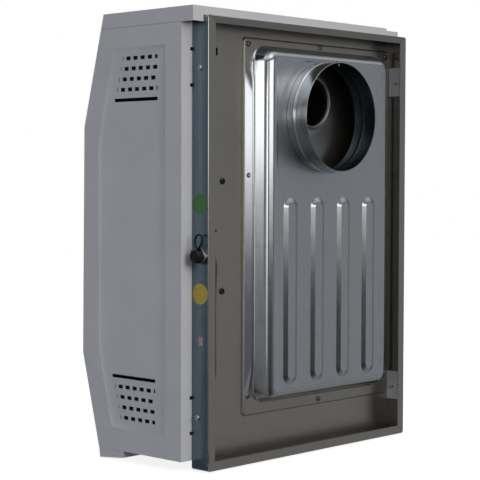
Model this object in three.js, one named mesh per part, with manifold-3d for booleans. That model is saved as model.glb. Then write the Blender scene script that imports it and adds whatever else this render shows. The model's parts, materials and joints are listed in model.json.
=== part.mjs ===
// Wall mounted gas heater with a room-sealed flue, as an assembly of its separate pieces.
// Millimetres, +Z up. The wall is the plane y = 0 and the heater stands on its -Y side, so its front
// faces -Y. The origin is the middle of the lower wall lip. +X is the side with the gas inlet.
import * as THREE from 'three';
import { mergeVertices } from 'three/addons/utils/BufferGeometryUtils.js';
import Module from 'manifold-3d';

const wasm = await Module();
wasm.setup();

// ---------------------------------------------------------------- driving dimensions
const zincSheet = 1.2;                 // gauge of the tray and of the air box
const paintedSheet = 1.2;              // gauge of the casing panels
const chamberSheet = 1.5;              // gauge of the combustion chamber
const seat = 0.3;                      // clearance of pieces that sit against each other
const past = 1;                        // how far a cutting tool runs past the face it cuts
const lap = 0.1;                       // how far two folds of one sheet run into each other

// back tray, open towards the wall
const trayWidth = 449;
const trayBottom = -6.5;
const trayHeight = 635.5;
const trayDepth = 31.8;
const trayCorner = 4;
const sideLip = 14;
const bottomLip = 13;
const topLip = 10.5;
const reliefFrom = 2;                  // relief slot in the lower corner on the gas side
const reliefTo = 20;
const reliefDepth = 2.4;
const keySlotX = 177;                  // upright slot in the plate beside the air box
const keySlotZ = 582.5;
const keySlotWidth = 4;
const keySlotHeight = 11;
const plateHoles = [[178.3, 329], [180.2, 292.8]];
const plateHoleRadius = 2.2;

// casing
const casingWidth = 490.8;
const casingBottom = 6.2;
const casingTop = 641.2;
const coverSkirt = 21.4;               // height of the top cover's rim
const coverRearGap = 9.4;              // from the wall to the top cover's rear strip
const coverRearEnd = -186.5;           // where the rear overhang ends on the side away from the gas inlet
const frontAtTop = 194.4;              // distance of the front from the wall, going down the profile
const frontAtBreak = 237.3;
const frontAtKnee = 241.1;
const frontAtBottom = 205.3;
const breakHeight = 477.9;
const kneeHeight = 144.1;
const frontFlange = 14;
const tabWidth = 24;                   // fixing tabs that lie inside the tray
const tabHeight = 45;
const tabHeights = [69.7, 558.2];
const tabGap = 0.5;                    // from a tab to the tray's side
const notchWidth = 4;
const notchHeight = 5;
const coverSlots = 20;                 // warm air outlets in the top
const coverSlotPitch = 20;
const coverSlotWidth = 8;
const coverSlotRear = 60;
const coverSlotFront = 170;

// stamped recess and air vents of the side panels
const recessDepth = 1.8;
const recessSlope = 7;                 // width of the sloping border round the recess
const recessRear = 64.5;
const recessTop = 590.5;
const recessBottom = 39.5;
const recessFrontTop = 177.3;
const recessFrontMiddle = 205.5;
const recessFrontBottom = 178;
const recessBreak = 452;
const recessKnee = 150;
const ventRows = 4;
const ventRowPitch = 14.85;
const ventHole = 9.6;
const ventHoleHeight = 5.6;
const ventPitch = 14.9;
const ventShift = 3.9;                 // each row starts this much further forward than the one outside it
const ventLead = 12;                   // from the row's front end to its first hole's centre
const ventSliver = 1.7;                // the cut-off hole at the front end of a row
const ventSlot = 5;
const upperVent = { outerRow: 574.9, front: 155, rear: 82, towards: -1 };
const lowerVent = { outerRow: 55.4, front: 160.3, rear: 86.5, towards: 1 };

// bottom fascia under the front
const fasciaRear = 152.5;
const fasciaRearDrop = 9.8;
const fasciaFront = 203;
const fasciaFrontDrop = 14.8;

// air box on the tray
const boxRootRight = 109;              // where the wall begins to rise from the flange
const boxRootLeft = -198.6;
const boxRootBottom = 72;
const boxRootTop = 598;
const boxFlangeRight = boxRootRight + 14.5;
const boxFlangeLeft = boxRootLeft - 17.1;
const boxFlangeBottom = boxRootBottom - 14.5;
const boxFlangeTop = boxRootTop + 8.6;
const boxFlangeCorner = 6;
const boxFace = 3.5;                   // depth of the face behind the wall plane
const boxSlope = 72;                   // angle of the wall to the flange, in degrees
const boxFoot = 4;                     // radius where the wall leaves the flange
const boxEdge = 16;                    // radius where it meets the face
const boxEndShare = 0.67;              // the walls at the ends are this much shallower in plan
const boxCorner = 26;
const gasketThickness = 2;
const ribCount = 4;
const ribFirst = 48.3;
const ribPitch = 61.1;
const ribWidth = 33;
const ribSlope = 5.5;
const ribRise = 3.2;
const ribBottom = 98;
const ribTop = 376.5;

// flue
const flueX = -23.5;
const collarZ = 494.7;
const collarRadius = 81;
const collarWall = 1.2;
const collarEnd = 34;                  // how far the collar stands past the wall plane
const collarBeadFromEnd = 24;
const collarBeadRise = 2.4;
const collarBeadHalf = 2.6;
const collarFoot = 8;
const collarScrewFromEnd = 7;
const collarSides = 36;
const exhaustZ = 519.2;
const exhaustRadius = 37.6;
const exhaustWall = 1.2;
const exhaustEnd = 21.5;               // depth of the exhaust spigot's end behind the wall plane
const exhaustFoot = 12;
const exhaustFlare = 7;
const exhaustFlareRise = 4.5;
const exhaustSides = 24;
const ductFlange = 8;                  // collar of the duct inside the chamber's wall

// combustion chamber
const chamberRight = 96;
const chamberLeft = -168;
const chamberBottom = 84;
const chamberTop = 560;
const chamberRear = 62;                // distances from the wall plane
const chamberSeam = 120;
const chamberFront = 178;
const chamberCorner = 30;
const chamberEdge = 8;
const chamberFlange = 12;
const airDuctLeft = -95;
const airDuctRight = 25;
const airDuctBottom = 104;
const airDuctTop = 144;
const airHoleInset = 4;                // the air holes are this much smaller than the duct, all round
const bracketWidth = 30;
const bracketHeight = 40;
const bracketPlaces = [[-140, 470], [60, 470], [-140, 180], [60, 180]];
const shieldDistance = 197;
const shieldBottom = 165;
const shieldTop = 540;
const shieldGap = 4;
const baffleHeight = 330;
const baffleReach = 30;

// burner line, all from the chamber's +X side
const burnerRadius = 15;
const burnerFromWall = 95;
const burnerZ = 124;
const burnerLeft = -150;
const burnerRight = 80;
const burnerSlots = 8;
const burnerSlotWidth = 3;
const burnerSlotMargin = 30;           // from the burner's ends to its first and last slot
const burnerWall = 1.5;
const burnerBrackets = [-134, 60];
const burnerBracketWidth = 40;
const injectorRadius = 6;
const pilotZ = 152;
const pilotFromWall = 95;
const pilotRadius = 5;
const coupleFromWall = 80;
const coupleRadius = 2.5;
const sparkFromWall = 109;
const sparkRadius = 4;

// sight glass
const sightX = -36;
const sightZ = 190;
const sightHole = 11;
const sightGlassRadius = 13;
const sightGlassThickness = 2.5;
const sightRim = 6;

// gas inlet and valve
const inletFromWall = 12.8;
const inletZ = 295;
const inletThread = 8;
const inletBore = 4.5;
const inletNutAcross = 22;
const inletNutThickness = 7;
const inletReach = 14;                 // how far the threaded end stands out of the tray
const capRadius = 9.75;
const capWall = 1.5;
const capDepth = 5.6;
const loopThickness = 2.2;
const pipeRadius = 5;
const pipeHole = 9;
const pipeHoleX = 195;
const pipeHoleZ = 112;
const valveX = 155;
const valveZ = 182;
const valveWidth = 46;
const valveBottom = 152;
const valveTop = 200;
const valveRear = 120;
const valveFront = 170;
const valveBoss = 13;
const valveBossFront = 186;
const spindleRadius = 4.5;
const spindleGap = 0.5;
const spindleRoom = 3;                 // round the spindle in the front panel
const spindleEnd = 158;
const pushRodLength = 6;
const knobTravel = 5;
const knobRadius = 21;
const knobDepth = 17;
const knobWall = 3;
const buttonX = 204;
const buttonRadius = 8.5;
const buttonTravel = 4;
const bezelRight = 224;
const bezelLeft = 124;
const bezelBottom = 150;
const bezelTop = 214;
const bezelThickness = 2;
const igniterRadius = 9;
const igniterFlange = 13;
const igniterLength = 40;
const bulbRadius = 4;
const bulbLeft = 60;
const bulbRight = 130;
const bulbFromWall = 60;
const bulbZ = 42;

// fasteners
const screwHead = 4;
const screwHeadHeight = 2.4;
const screwShank = 2;
const screwSides = 6;
const headSides = 8;
const screwHole = screwShank + seat;
const boxScrewLength = 8;
const plateScrewLength = 6;
const casingScrewLength = 7;
const boxScrewInset = 9;               // from the air box flange's edges
const boxScrewInsetTop = 4.4;
const boxScrewInsetBottom = 7.5;
const boxScrewMiddle = 190;            // below the air box's top
const boxScrewLow = 14;                // above the air box's bottom
const plateScrews = [[165, 399.3], [165.8, 242.1]];
const casingScrewDepths = [20, 16];    // from the wall plane, lower then upper
const casingScrewDrop = 1.8;           // below the middle of its tab

// ---------------------------------------------------------------- places that follow from them
const traySide = trayWidth / 2;
const trayTop = trayBottom + trayHeight;
const casingSide = casingWidth / 2;
const plateRear = -trayDepth + zincSheet;          // wall side of the tray's plate
const plateFront = -trayDepth;                     // room side of it
const panelTop = casingTop - coverSkirt - seat;
const profile = [
  [-frontAtTop, casingTop],
  [-frontAtBreak, breakHeight],
  [-frontAtKnee, kneeHeight],
  [-frontAtBottom, casingBottom],
];

function frontAt(z) {
  // y of the casing's front at height z
  for (let i = 0; i < profile.length - 1; i += 1) {
    const [y0, z0] = profile[i];
    const [y1, z1] = profile[i + 1];
    if (z <= z0 && z >= z1) return y0 + ((y1 - y0) * (z0 - z)) / (z0 - z1);
  }
  return z > casingTop ? -frontAtTop : -frontAtBottom;
}

// ---------------------------------------------------------------- shape helpers
function solid(geometry) {
  const bare = geometry.clone();
  bare.deleteAttribute('normal');
  bare.deleteAttribute('uv');
  const merged = mergeVertices(bare, 1e-4);
  const mesh = new wasm.Mesh({
    numProp: 3,
    vertProperties: new Float32Array(merged.attributes.position.array),
    triVerts: new Uint32Array(merged.index.array),
  });
  mesh.merge();
  return new wasm.Manifold(mesh);
}

function join(first, ...others) {
  return others.reduce((sum, other) => sum.add(other), first);
}

function cut(body, ...tools) {
  return tools.reduce((left, tool) => left.subtract(tool), body);
}

function box(x0, x1, y0, y1, z0, z1) {
  const geometry = new THREE.BoxGeometry(Math.abs(x1 - x0), Math.abs(y1 - y0), Math.abs(z1 - z0));
  geometry.translate((x0 + x1) / 2, (y0 + y1) / 2, (z0 + z1) / 2);
  return solid(geometry);
}

function rodY(x, z, y0, y1, radius, sides = 16) {
  const geometry = new THREE.CylinderGeometry(radius, radius, Math.abs(y1 - y0), sides);
  geometry.translate(x, (y0 + y1) / 2, z);
  return solid(geometry);
}

function rodX(y, z, x0, x1, radius, sides = 16) {
  const geometry = new THREE.CylinderGeometry(radius, radius, Math.abs(x1 - x0), sides);
  geometry.rotateZ(Math.PI / 2);
  geometry.translate((x0 + x1) / 2, y, z);
  return solid(geometry);
}

function rodZ(x, y, z0, z1, radius, sides = 16) {
  const geometry = new THREE.CylinderGeometry(radius, radius, Math.abs(z1 - z0), sides);
  geometry.rotateX(Math.PI / 2);
  geometry.translate(x, y, (z0 + z1) / 2);
  return solid(geometry);
}

function hexX(y, z, x0, x1, across) {
  // hexagon with a flat on top, along X
  const geometry = new THREE.CylinderGeometry(across / Math.sqrt(3), across / Math.sqrt(3), Math.abs(x1 - x0), 6);
  geometry.rotateY(Math.PI / 2);
  geometry.rotateZ(Math.PI / 2);
  geometry.translate((x0 + x1) / 2, y, z);
  return solid(geometry);
}

function outline(points) {
  return new THREE.Shape(points.map(([u, v]) => new THREE.Vector2(u, v)));
}

function extrude(shape, depth, arcSteps) {
  return new THREE.ExtrudeGeometry(shape, { depth, bevelEnabled: false, curveSegments: arcSteps });
}

function alongX(shape, x0, x1, arcSteps = 4) {
  // a shape drawn in (y, z), from x0 to x1
  const geometry = extrude(shape, x1 - x0, arcSteps);
  const turn = new THREE.Matrix4().makeBasis(
    new THREE.Vector3(0, 1, 0),
    new THREE.Vector3(0, 0, 1),
    new THREE.Vector3(1, 0, 0),
  );
  geometry.applyMatrix4(turn);
  geometry.translate(x0, 0, 0);
  return solid(geometry);
}

function alongY(shape, y0, y1, arcSteps = 4) {
  // a shape drawn in (x, z), from y0 to y1
  const geometry = extrude(shape, y1 - y0, arcSteps);
  geometry.rotateX(Math.PI / 2);
  geometry.translate(0, y1, 0);
  return solid(geometry);
}

function roundedBox(u0, u1, v0, v1, radius) {
  const shape = new THREE.Shape();
  shape.moveTo(u0 + radius, v0);
  shape.lineTo(u1 - radius, v0);
  shape.absarc(u1 - radius, v0 + radius, radius, -Math.PI / 2, 0, false);
  shape.lineTo(u1, v1 - radius);
  shape.absarc(u1 - radius, v1 - radius, radius, 0, Math.PI / 2, false);
  shape.lineTo(u0 + radius, v1);
  shape.absarc(u0 + radius, v1 - radius, radius, Math.PI / 2, Math.PI, false);
  shape.lineTo(u0, v0 + radius);
  shape.absarc(u0 + radius, v0 + radius, radius, Math.PI, 1.5 * Math.PI, false);
  return shape;
}

function turned(profilePoints, x, z, sides) {
  // a closed profile of [radius, y] turned about the axis along Y through (x, z)
  const area = profilePoints.reduce((sum, [r0, y0], i) => {
    const [r1, y1] = profilePoints[(i + 1) % profilePoints.length];
    return sum + r0 * y1 - r1 * y0;
  }, 0);
  const ordered = area > 0 ? profilePoints : [...profilePoints].reverse();
  const points = [...ordered, ordered[0]].map(([r, y]) => new THREE.Vector2(r, y));
  const geometry = new THREE.LatheGeometry(points, sides);
  geometry.translate(x, 0, z);
  return solid(geometry);
}

function tube(points, radius, sides, steps) {
  const curve = new THREE.CatmullRomCurve3(points.map((p) => new THREE.Vector3(...p)), false, 'centripetal');
  const section = new THREE.Shape();
  for (let i = 0; i < sides; i += 1) {
    const angle = (2 * Math.PI * i) / sides;
    const place = [radius * Math.cos(angle), radius * Math.sin(angle)];
    if (i === 0) section.moveTo(...place);
    else section.lineTo(...place);
  }
  const geometry = new THREE.ExtrudeGeometry(section, { steps, bevelEnabled: false, extrudePath: curve });
  return solid(geometry);
}

function ring(y, x0, x1, z0, z1, radius, arcSteps) {
  const points = [];
  const corners = [
    [x1 - radius, z0 + radius, -Math.PI / 2],
    [x1 - radius, z1 - radius, 0],
    [x0 + radius, z1 - radius, Math.PI / 2],
    [x0 + radius, z0 + radius, Math.PI],
  ];
  corners.forEach(([cx, cz, start]) => {
    for (let i = 0; i <= arcSteps; i += 1) {
      const angle = start + (i * Math.PI) / 2 / arcSteps;
      points.push([cx + radius * Math.cos(angle), y, cz + radius * Math.sin(angle)]);
    }
  });
  return points;
}

function signedVolume(places, faces) {
  const corner = (i) => new THREE.Vector3(...places.slice(3 * i, 3 * i + 3));
  let sum = 0;
  for (let i = 0; i < faces.length; i += 3) {
    const [a, b, c] = [corner(faces[i]), corner(faces[i + 1]), corner(faces[i + 2])];
    sum += a.dot(b.cross(c));
  }
  return sum;
}

function loft(rings) {
  // a closed body through rings of equal point counts, with flat ends
  const count = rings[0].length;
  const places = rings.flat(2);
  const ends = [rings[0], rings[rings.length - 1]];
  ends.forEach((end) => {
    const middle = [0, 1, 2].map((axis) => end.reduce((sum, p) => sum + p[axis], 0) / count);
    places.push(...middle);
  });
  const first = rings.length * count;
  const faces = [];
  for (let r = 0; r < rings.length - 1; r += 1) {
    for (let i = 0; i < count; i += 1) {
      const a = r * count + i;
      const b = r * count + ((i + 1) % count);
      faces.push(a, b, a + count, b, b + count, a + count);
    }
  }
  const last = (rings.length - 1) * count;
  for (let i = 0; i < count; i += 1) {
    const next = (i + 1) % count;
    faces.push(first, next, i, first + 1, last + i, last + next);
  }
  if (signedVolume(places, faces) < 0) faces.reverse();
  const geometry = new THREE.BufferGeometry();
  geometry.setAttribute('position', new THREE.BufferAttribute(new Float32Array(places), 3));
  geometry.setIndex(faces);
  return solid(geometry);
}

function panBody(p, wall, overrun) {
  // outside of a pressed pan where wall is 0, or its hollow where wall is the gauge: the wall leaves
  // the rim with one radius, rises at the slope and turns into the face with another radius
  const way = Math.sign(p.face - p.rim);
  const slope = (p.slope * Math.PI) / 180;
  const height = Math.abs(p.face - p.rim);
  const straight = (height - (p.foot + p.edge) * (1 - Math.cos(slope))) / Math.sin(slope);
  const at = (angle, inset, rise) => {
    const across = inset + wall * Math.sin(angle);
    const along = across * p.endShare;
    return ring(
      p.rim + way * (rise - wall * Math.cos(angle)),
      p.left + across, p.right - across, p.bottom + along, p.top - along,
      Math.max(p.corner - along, 1), p.arcSteps,
    );
  };
  const rings = [at(0, 0, -overrun)];
  for (let k = 0; k <= p.footSteps; k += 1) {
    const angle = p.footSteps ? (slope * k) / p.footSteps : slope;
    rings.push(at(angle, p.foot * Math.sin(angle), p.foot * (1 - Math.cos(angle))));
  }
  const topInset = (p.foot + p.edge) * Math.sin(slope) + straight * Math.cos(slope);
  for (let k = 0; k <= p.edgeSteps; k += 1) {
    const angle = slope * (1 - k / p.edgeSteps);
    rings.push(at(angle, topInset - p.edge * Math.sin(angle), height - p.edge * (1 - Math.cos(angle))));
  }
  return loft(rings);
}

function mitred(points, inset) {
  // the polyline moved sideways by inset, to the right of its direction
  return points.map(([y, z], i) => {
    const sides = [];
    if (i > 0) sides.push([y - points[i - 1][0], z - points[i - 1][1]]);
    if (i < points.length - 1) sides.push([points[i + 1][0] - y, points[i + 1][1] - z]);
    const normals = sides.map(([dy, dz]) => [-dz / Math.hypot(dy, dz), dy / Math.hypot(dy, dz)]);
    const sum = normals.reduce((a, b) => [a[0] + b[0], a[1] + b[1]], [0, 0]);
    const length = Math.hypot(...sum);
    const unit = [sum[0] / length, sum[1] / length];
    const stretch = inset / (unit[0] * normals[0][0] + unit[1] * normals[0][1]);
    return [y + unit[0] * stretch, z + unit[1] * stretch];
  });
}

function strip(points, inset, gauge) {
  return outline([...mitred(points, inset), ...mitred(points, inset + gauge).reverse()]);
}

function mirrorX(body) {
  return body.mirror([1, 0, 0]);
}

// ---------------------------------------------------------------- finishes
function finish(color, roughness, metalness) {
  return new THREE.MeshStandardMaterial({ color, roughness, metalness });
}

const zinc = finish(0x9a9ea2, 0.38, 0.9);
const whitePaint = finish(0xd9d9dc, 0.4, 0);
const darkEnamel = finish(0x2b2b2d, 0.5, 0.3);
const brass = finish(0xb08d4a, 0.35, 1);
const copper = finish(0xa9653f, 0.4, 1);
const blackPlastic = finish(0x17171a, 0.5, 0);
const greyPlastic = finish(0x5a5d61, 0.5, 0);
const ceramic = finish(0xe6e2d6, 0.6, 0);
const glassFinish = finish(0xc9d6d6, 0.05, 0);
const gasketFibre = finish(0x3a3936, 0.9, 0);
const steel = finish(0xb5b8ba, 0.3, 1);

const heater = new THREE.Group();

function add(name, body, material) {
  const mesh = body.getMesh();
  const places = new Float32Array(mesh.numVert * 3);
  for (let i = 0; i < mesh.numVert; i += 1) {
    for (let axis = 0; axis < 3; axis += 1) {
      places[3 * i + axis] = mesh.vertProperties[i * mesh.numProp + axis];
    }
  }
  const geometry = new THREE.BufferGeometry();
  geometry.setAttribute('position', new THREE.BufferAttribute(places, 3));
  geometry.setIndex(new THREE.BufferAttribute(new Uint32Array(mesh.triVerts), 1));
  geometry.computeVertexNormals();
  const node = new THREE.Mesh(geometry, material);
  node.name = name;
  heater.add(node);
}

function screwY(x, z, seatY, length) {
  // head on the wall side of seatY, shank towards the room
  return join(
    rodY(x, z, seatY, seatY + screwHeadHeight, screwHead, headSides),
    rodY(x, z, seatY - length, seatY + screwHeadHeight / 2, screwShank, screwSides),
  );
}

function screwHoleY(x, z) {
  return rodY(x, z, plateFront - past, 0, screwHole, screwSides);
}

function casingScrewHole(side, index, outerX) {
  const innerX = traySide - 2 * zincSheet - tabGap - paintedSheet;
  const z = tabHeights[index] - casingScrewDrop;
  return rodX(-casingScrewDepths[index], z, side * innerX, side * outerX, screwHole, screwSides);
}

function airHole(y0, y1) {
  return box(
    airDuctLeft + airHoleInset, airDuctRight - airHoleInset, y0, y1,
    airDuctBottom + airHoleInset, airDuctTop - airHoleInset,
  );
}

// ---------------------------------------------------------------- fastener places
const boxMiddle = (boxRootRight + boxRootLeft) / 2;
const boxScrewRight = boxFlangeRight - boxScrewInset;
const boxScrewLeft = boxFlangeLeft + boxScrewInset;
const boxScrews = [
  [boxScrewRight, boxFlangeTop - boxScrewInset],
  [boxMiddle, boxFlangeTop - boxScrewInsetTop],
  [boxScrewLeft, boxFlangeTop - boxScrewInset],
  [boxScrewRight, boxRootTop - boxScrewMiddle],
  [boxScrewLeft, boxRootTop - boxScrewMiddle],
  [boxScrewRight, boxRootBottom + boxScrewLow],
  [boxMiddle, boxFlangeBottom + boxScrewInsetBottom],
  [boxScrewLeft, boxRootBottom + boxScrewLow],
];

// ---------------------------------------------------------------- back tray
function backTray() {
  const shell = alongY(roundedBox(-traySide, traySide, trayBottom, trayTop, trayCorner), plateFront, 0, 3);
  const hollow = box(
    -traySide + zincSheet, traySide - zincSheet,
    plateRear, -zincSheet,
    trayBottom + zincSheet, trayTop - zincSheet,
  );
  const mouth = box(
    -traySide + sideLip, traySide - sideLip, -zincSheet - past, past,
    trayBottom + bottomLip, trayTop - topLip,
  );
  const through = [plateFront - past, plateRear + past];
  const tools = [hollow, mouth];
  tools.push(rodY(flueX, exhaustZ, ...through, exhaustRadius + exhaustWall, exhaustSides));
  tools.push(airHole(...through));
  tools.push(rodY(pipeHoleX, pipeHoleZ, ...through, pipeHole, 12));
  tools.push(box(
    keySlotX - keySlotWidth / 2, keySlotX + keySlotWidth / 2, ...through,
    keySlotZ - keySlotHeight / 2, keySlotZ + keySlotHeight / 2,
  ));
  plateHoles.forEach(([x, z]) => tools.push(rodY(x, z, ...through, plateHoleRadius, 6)));
  [...boxScrews, ...plateScrews].forEach(([x, z]) => tools.push(screwHoleY(x, z)));
  // slots beside the flanges for the casing's fixing tabs, and the screws that hold them
  tabHeights.forEach((middle, i) => {
    [-1, 1].forEach((side) => {
      tools.push(box(
        side * (traySide - zincSheet), side * (traySide - zincSheet - tabGap - paintedSheet - tabGap),
        ...through, middle - tabHeight / 2 - past, middle + tabHeight / 2 + past,
      ));
      tools.push(casingScrewHole(side, i, traySide + past));
    });
  });
  // gas inlet hole, and the relief slot at the lower corner
  tools.push(rodX(-inletFromWall, inletZ, traySide - 2 * zincSheet, traySide + past, inletThread + seat, 16));
  tools.push(box(traySide - reliefDepth, traySide + past, -reliefDepth, past, reliefFrom, reliefTo));
  return cut(shell, ...tools);
}

// ---------------------------------------------------------------- air box
const gasketRear = plateRear + gasketThickness;
const boxRim = gasketRear + zincSheet;
const boxPan = {
  left: boxRootLeft,
  right: boxRootRight,
  bottom: boxRootBottom,
  top: boxRootTop,
  corner: boxCorner,
  rim: boxRim,
  face: -boxFace,
  slope: boxSlope,
  foot: boxFoot,
  footSteps: 2,
  edge: boxEdge,
  edgeSteps: 4,
  endShare: boxEndShare,
  arcSteps: 4,
};

function flangePlate(y0, y1) {
  const plate = alongY(
    roundedBox(boxFlangeLeft, boxFlangeRight, boxFlangeBottom, boxFlangeTop, boxFlangeCorner), y0, y1, 2,
  );
  return cut(plate, ...boxScrews.map(([x, z]) => screwHoleY(x, z)));
}

function gasket() {
  const inner = alongY(
    roundedBox(boxRootLeft, boxRootRight, boxRootBottom, boxRootTop, boxCorner),
    plateRear - past, gasketRear + past, 4,
  );
  return cut(flangePlate(plateRear, gasketRear), inner);
}

function rib(index, wall) {
  const x = ribFirst - index * ribPitch;
  const at = (y, inset) => ring(
    y, x - ribWidth / 2 + inset, x + ribWidth / 2 - inset, ribBottom + inset, ribTop - inset,
    ribWidth / 2 - inset - lap / 2, 2,
  );
  const foot = -boxFace - (wall ? wall + past : zincSheet / 2);
  return loft([at(foot, wall), at(-boxFace - wall, wall), at(-boxFace + ribRise - wall, wall + ribSlope)]);
}

function airBox() {
  let outside = join(flangePlate(gasketRear, boxRim), panBody(boxPan, 0, zincSheet / 2));
  let hollow = panBody(boxPan, zincSheet, 2 * zincSheet);
  for (let i = 0; i < ribCount; i += 1) {
    outside = join(outside, rib(i, 0));
    hollow = join(hollow, rib(i, zincSheet));
  }
  return cut(
    outside, hollow,
    rodY(flueX, collarZ, -boxFace - 3 * zincSheet, -boxFace + past, collarRadius + seat, collarSides),
  );
}

// ---------------------------------------------------------------- flue
function flueCollar() {
  const inner = collarRadius - collarWall;
  const foot = -boxFace - zincSheet - seat;
  const bead = collarEnd - collarBeadFromEnd;
  const body = turned([
    [inner, foot - collarWall],
    [collarRadius + collarFoot, foot - collarWall],
    [collarRadius + collarFoot, foot],
    [collarRadius, foot],
    [collarRadius, bead - collarBeadHalf],
    [collarRadius + collarBeadRise, bead - collarBeadHalf / 2],
    [collarRadius + collarBeadRise, bead + collarBeadHalf / 2],
    [collarRadius, bead + collarBeadHalf],
    [collarRadius, collarEnd],
    [inner, collarEnd],
  ], flueX, collarZ, collarSides);
  return cut(body, rodZ(
    flueX, collarEnd - collarScrewFromEnd, collarZ + inner - 2 * past, collarZ + collarRadius + past,
    screwHole, screwSides,
  ));
}

function collarScrew() {
  const top = collarZ + collarRadius;
  const y = collarEnd - collarScrewFromEnd;
  return join(
    rodZ(flueX, y, top + lap / 2, top + screwHeadHeight, screwHead, headSides),
    rodZ(flueX, y, top - plateScrewLength, top + screwHeadHeight / 2, screwShank, screwSides),
  );
}

function exhaustOutlet() {
  const inner = exhaustRadius - exhaustWall;
  const end = -exhaustEnd;
  const gauge = exhaustWall;
  return turned([
    [inner, plateRear],
    [exhaustRadius + exhaustFoot, plateRear],
    [exhaustRadius + exhaustFoot, plateRear + gauge],
    [exhaustRadius + exhaustFlare, plateRear + gauge],
    [exhaustRadius + exhaustFlare / 4, plateRear + gauge + exhaustFlareRise / 2],
    [exhaustRadius, plateRear + gauge + exhaustFlareRise],
    [exhaustRadius, end],
    [inner, end],
  ], flueX, exhaustZ, exhaustSides);
}

function exhaustDuct() {
  const outer = exhaustRadius + exhaustWall - seat;
  const inner = outer - exhaustWall;
  return turned([
    [inner, -chamberRear - chamberSheet],
    [outer, -chamberRear - chamberSheet],
    [outer, -chamberRear],
    [outer + ductFlange, -chamberRear],
    [outer + ductFlange, -chamberRear + exhaustWall],
    [outer, -chamberRear + exhaustWall],
    [outer, plateRear],
    [inner, plateRear],
  ], flueX, exhaustZ, exhaustSides);
}

// ---------------------------------------------------------------- casing
const panelRear = plateFront - seat;

function tabs(side) {
  const innerX = side * (traySide - zincSheet - tabGap);
  return tabHeights.map((middle) => box(
    innerX, innerX - side * paintedSheet,
    panelRear - paintedSheet, panelRear + tabWidth,
    middle - tabHeight / 2, middle + tabHeight / 2,
  ));
}

function recessRing(x, inset) {
  return [
    [x, -recessRear - inset, recessBottom + inset],
    [x, -recessRear - inset, recessTop - inset],
    [x, -recessFrontTop + inset, recessTop - inset],
    [x, -recessFrontMiddle + inset, recessBreak],
    [x, -recessFrontMiddle + inset, recessKnee],
    [x, -recessFrontBottom + inset, recessBottom + inset],
  ];
}

function ventTools(group, x0, x1) {
  // rows of square holes whose front ends follow the slanted front, then one long slot
  const tools = [];
  for (let row = 0; row < ventRows; row += 1) {
    const z = group.outerRow + group.towards * row * ventRowPitch;
    const front = group.front + row * ventShift;
    const spans = [[front - ventSliver, front]];
    for (let centre = front - ventLead; centre + ventHole / 2 > group.rear + 2; centre -= ventPitch) {
      spans.push([Math.max(centre - ventHole / 2, group.rear), centre + ventHole / 2]);
    }
    spans.forEach(([near, far]) => {
      tools.push(box(x0, x1, -far, -near, z - ventHoleHeight / 2, z + ventHoleHeight / 2));
    });
  }
  const slotZ = group.outerRow + group.towards * ventRows * ventRowPitch;
  const slotFront = group.front + (ventRows + 0.6) * ventShift;
  tools.push(box(x0, x1, -slotFront, -group.rear, slotZ - ventSlot / 2, slotZ + ventSlot / 2));
  return tools;
}

function sidePanel() {
  // the +X panel; its twin is the mirror image
  const wallInner = casingSide - paintedSheet;
  const face = outline([
    [panelRear, casingBottom],
    [panelRear, panelTop],
    [frontAt(panelTop), panelTop],
    ...profile.slice(1),
  ].reverse());
  const wall = alongX(face, wallInner, casingSide);
  const dish = loft([
    recessRing(casingSide, 0), recessRing(wallInner, 0), recessRing(wallInner - recessDepth, recessSlope),
  ]);
  const dent = loft([
    recessRing(casingSide + past, 0), recessRing(casingSide, 0), recessRing(casingSide - recessDepth, recessSlope),
  ]);
  const back = box(
    traySide - zincSheet - tabGap - paintedSheet, wallInner + lap,
    panelRear - paintedSheet, panelRear, casingBottom, panelTop,
  );
  const clip = [[frontAt(panelTop), panelTop], ...profile.slice(1)];
  const front = alongX(
    strip(clip, paintedSheet + seat, paintedSheet), casingSide - frontFlange, wallInner + lap,
  );
  const tools = [
    dent,
    ...ventTools(upperVent, wallInner - recessDepth - past, casingSide + past),
    ...ventTools(lowerVent, wallInner - recessDepth - past, casingSide + past),
  ];
  tabHeights.forEach((middle, i) => {
    [-1, 1].forEach((end) => {
      const z = middle + end * (tabHeight / 2 + notchHeight / 2);
      tools.push(box(
        traySide - zincSheet - tabGap - paintedSheet - past, traySide + notchWidth,
        panelRear - paintedSheet - past, panelRear + past, z - notchHeight / 2, z + notchHeight / 2,
      ));
    });
    tools.push(casingScrewHole(1, i, traySide));
  });
  return cut(join(wall, dish, back, front, ...tabs(1)), ...tools);
}

function frontPanel() {
  const reach = casingSide - paintedSheet - seat;
  const line = [[frontAt(panelTop), panelTop], ...profile.slice(1)];
  const sheet = alongX(strip(line, 0, paintedSheet), -reach, reach);
  const outside = frontAt(valveZ);
  const through = [outside - 4 * paintedSheet, outside + 4 * paintedSheet];
  return cut(
    sheet,
    rodY(valveX, valveZ, ...through, spindleRadius + spindleRoom, 12),
    rodY(buttonX, valveZ, ...through, buttonRadius + 2 * seat, 16),
    rodY(sightX, sightZ, ...through, sightHole, 16),
  );
}

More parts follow.
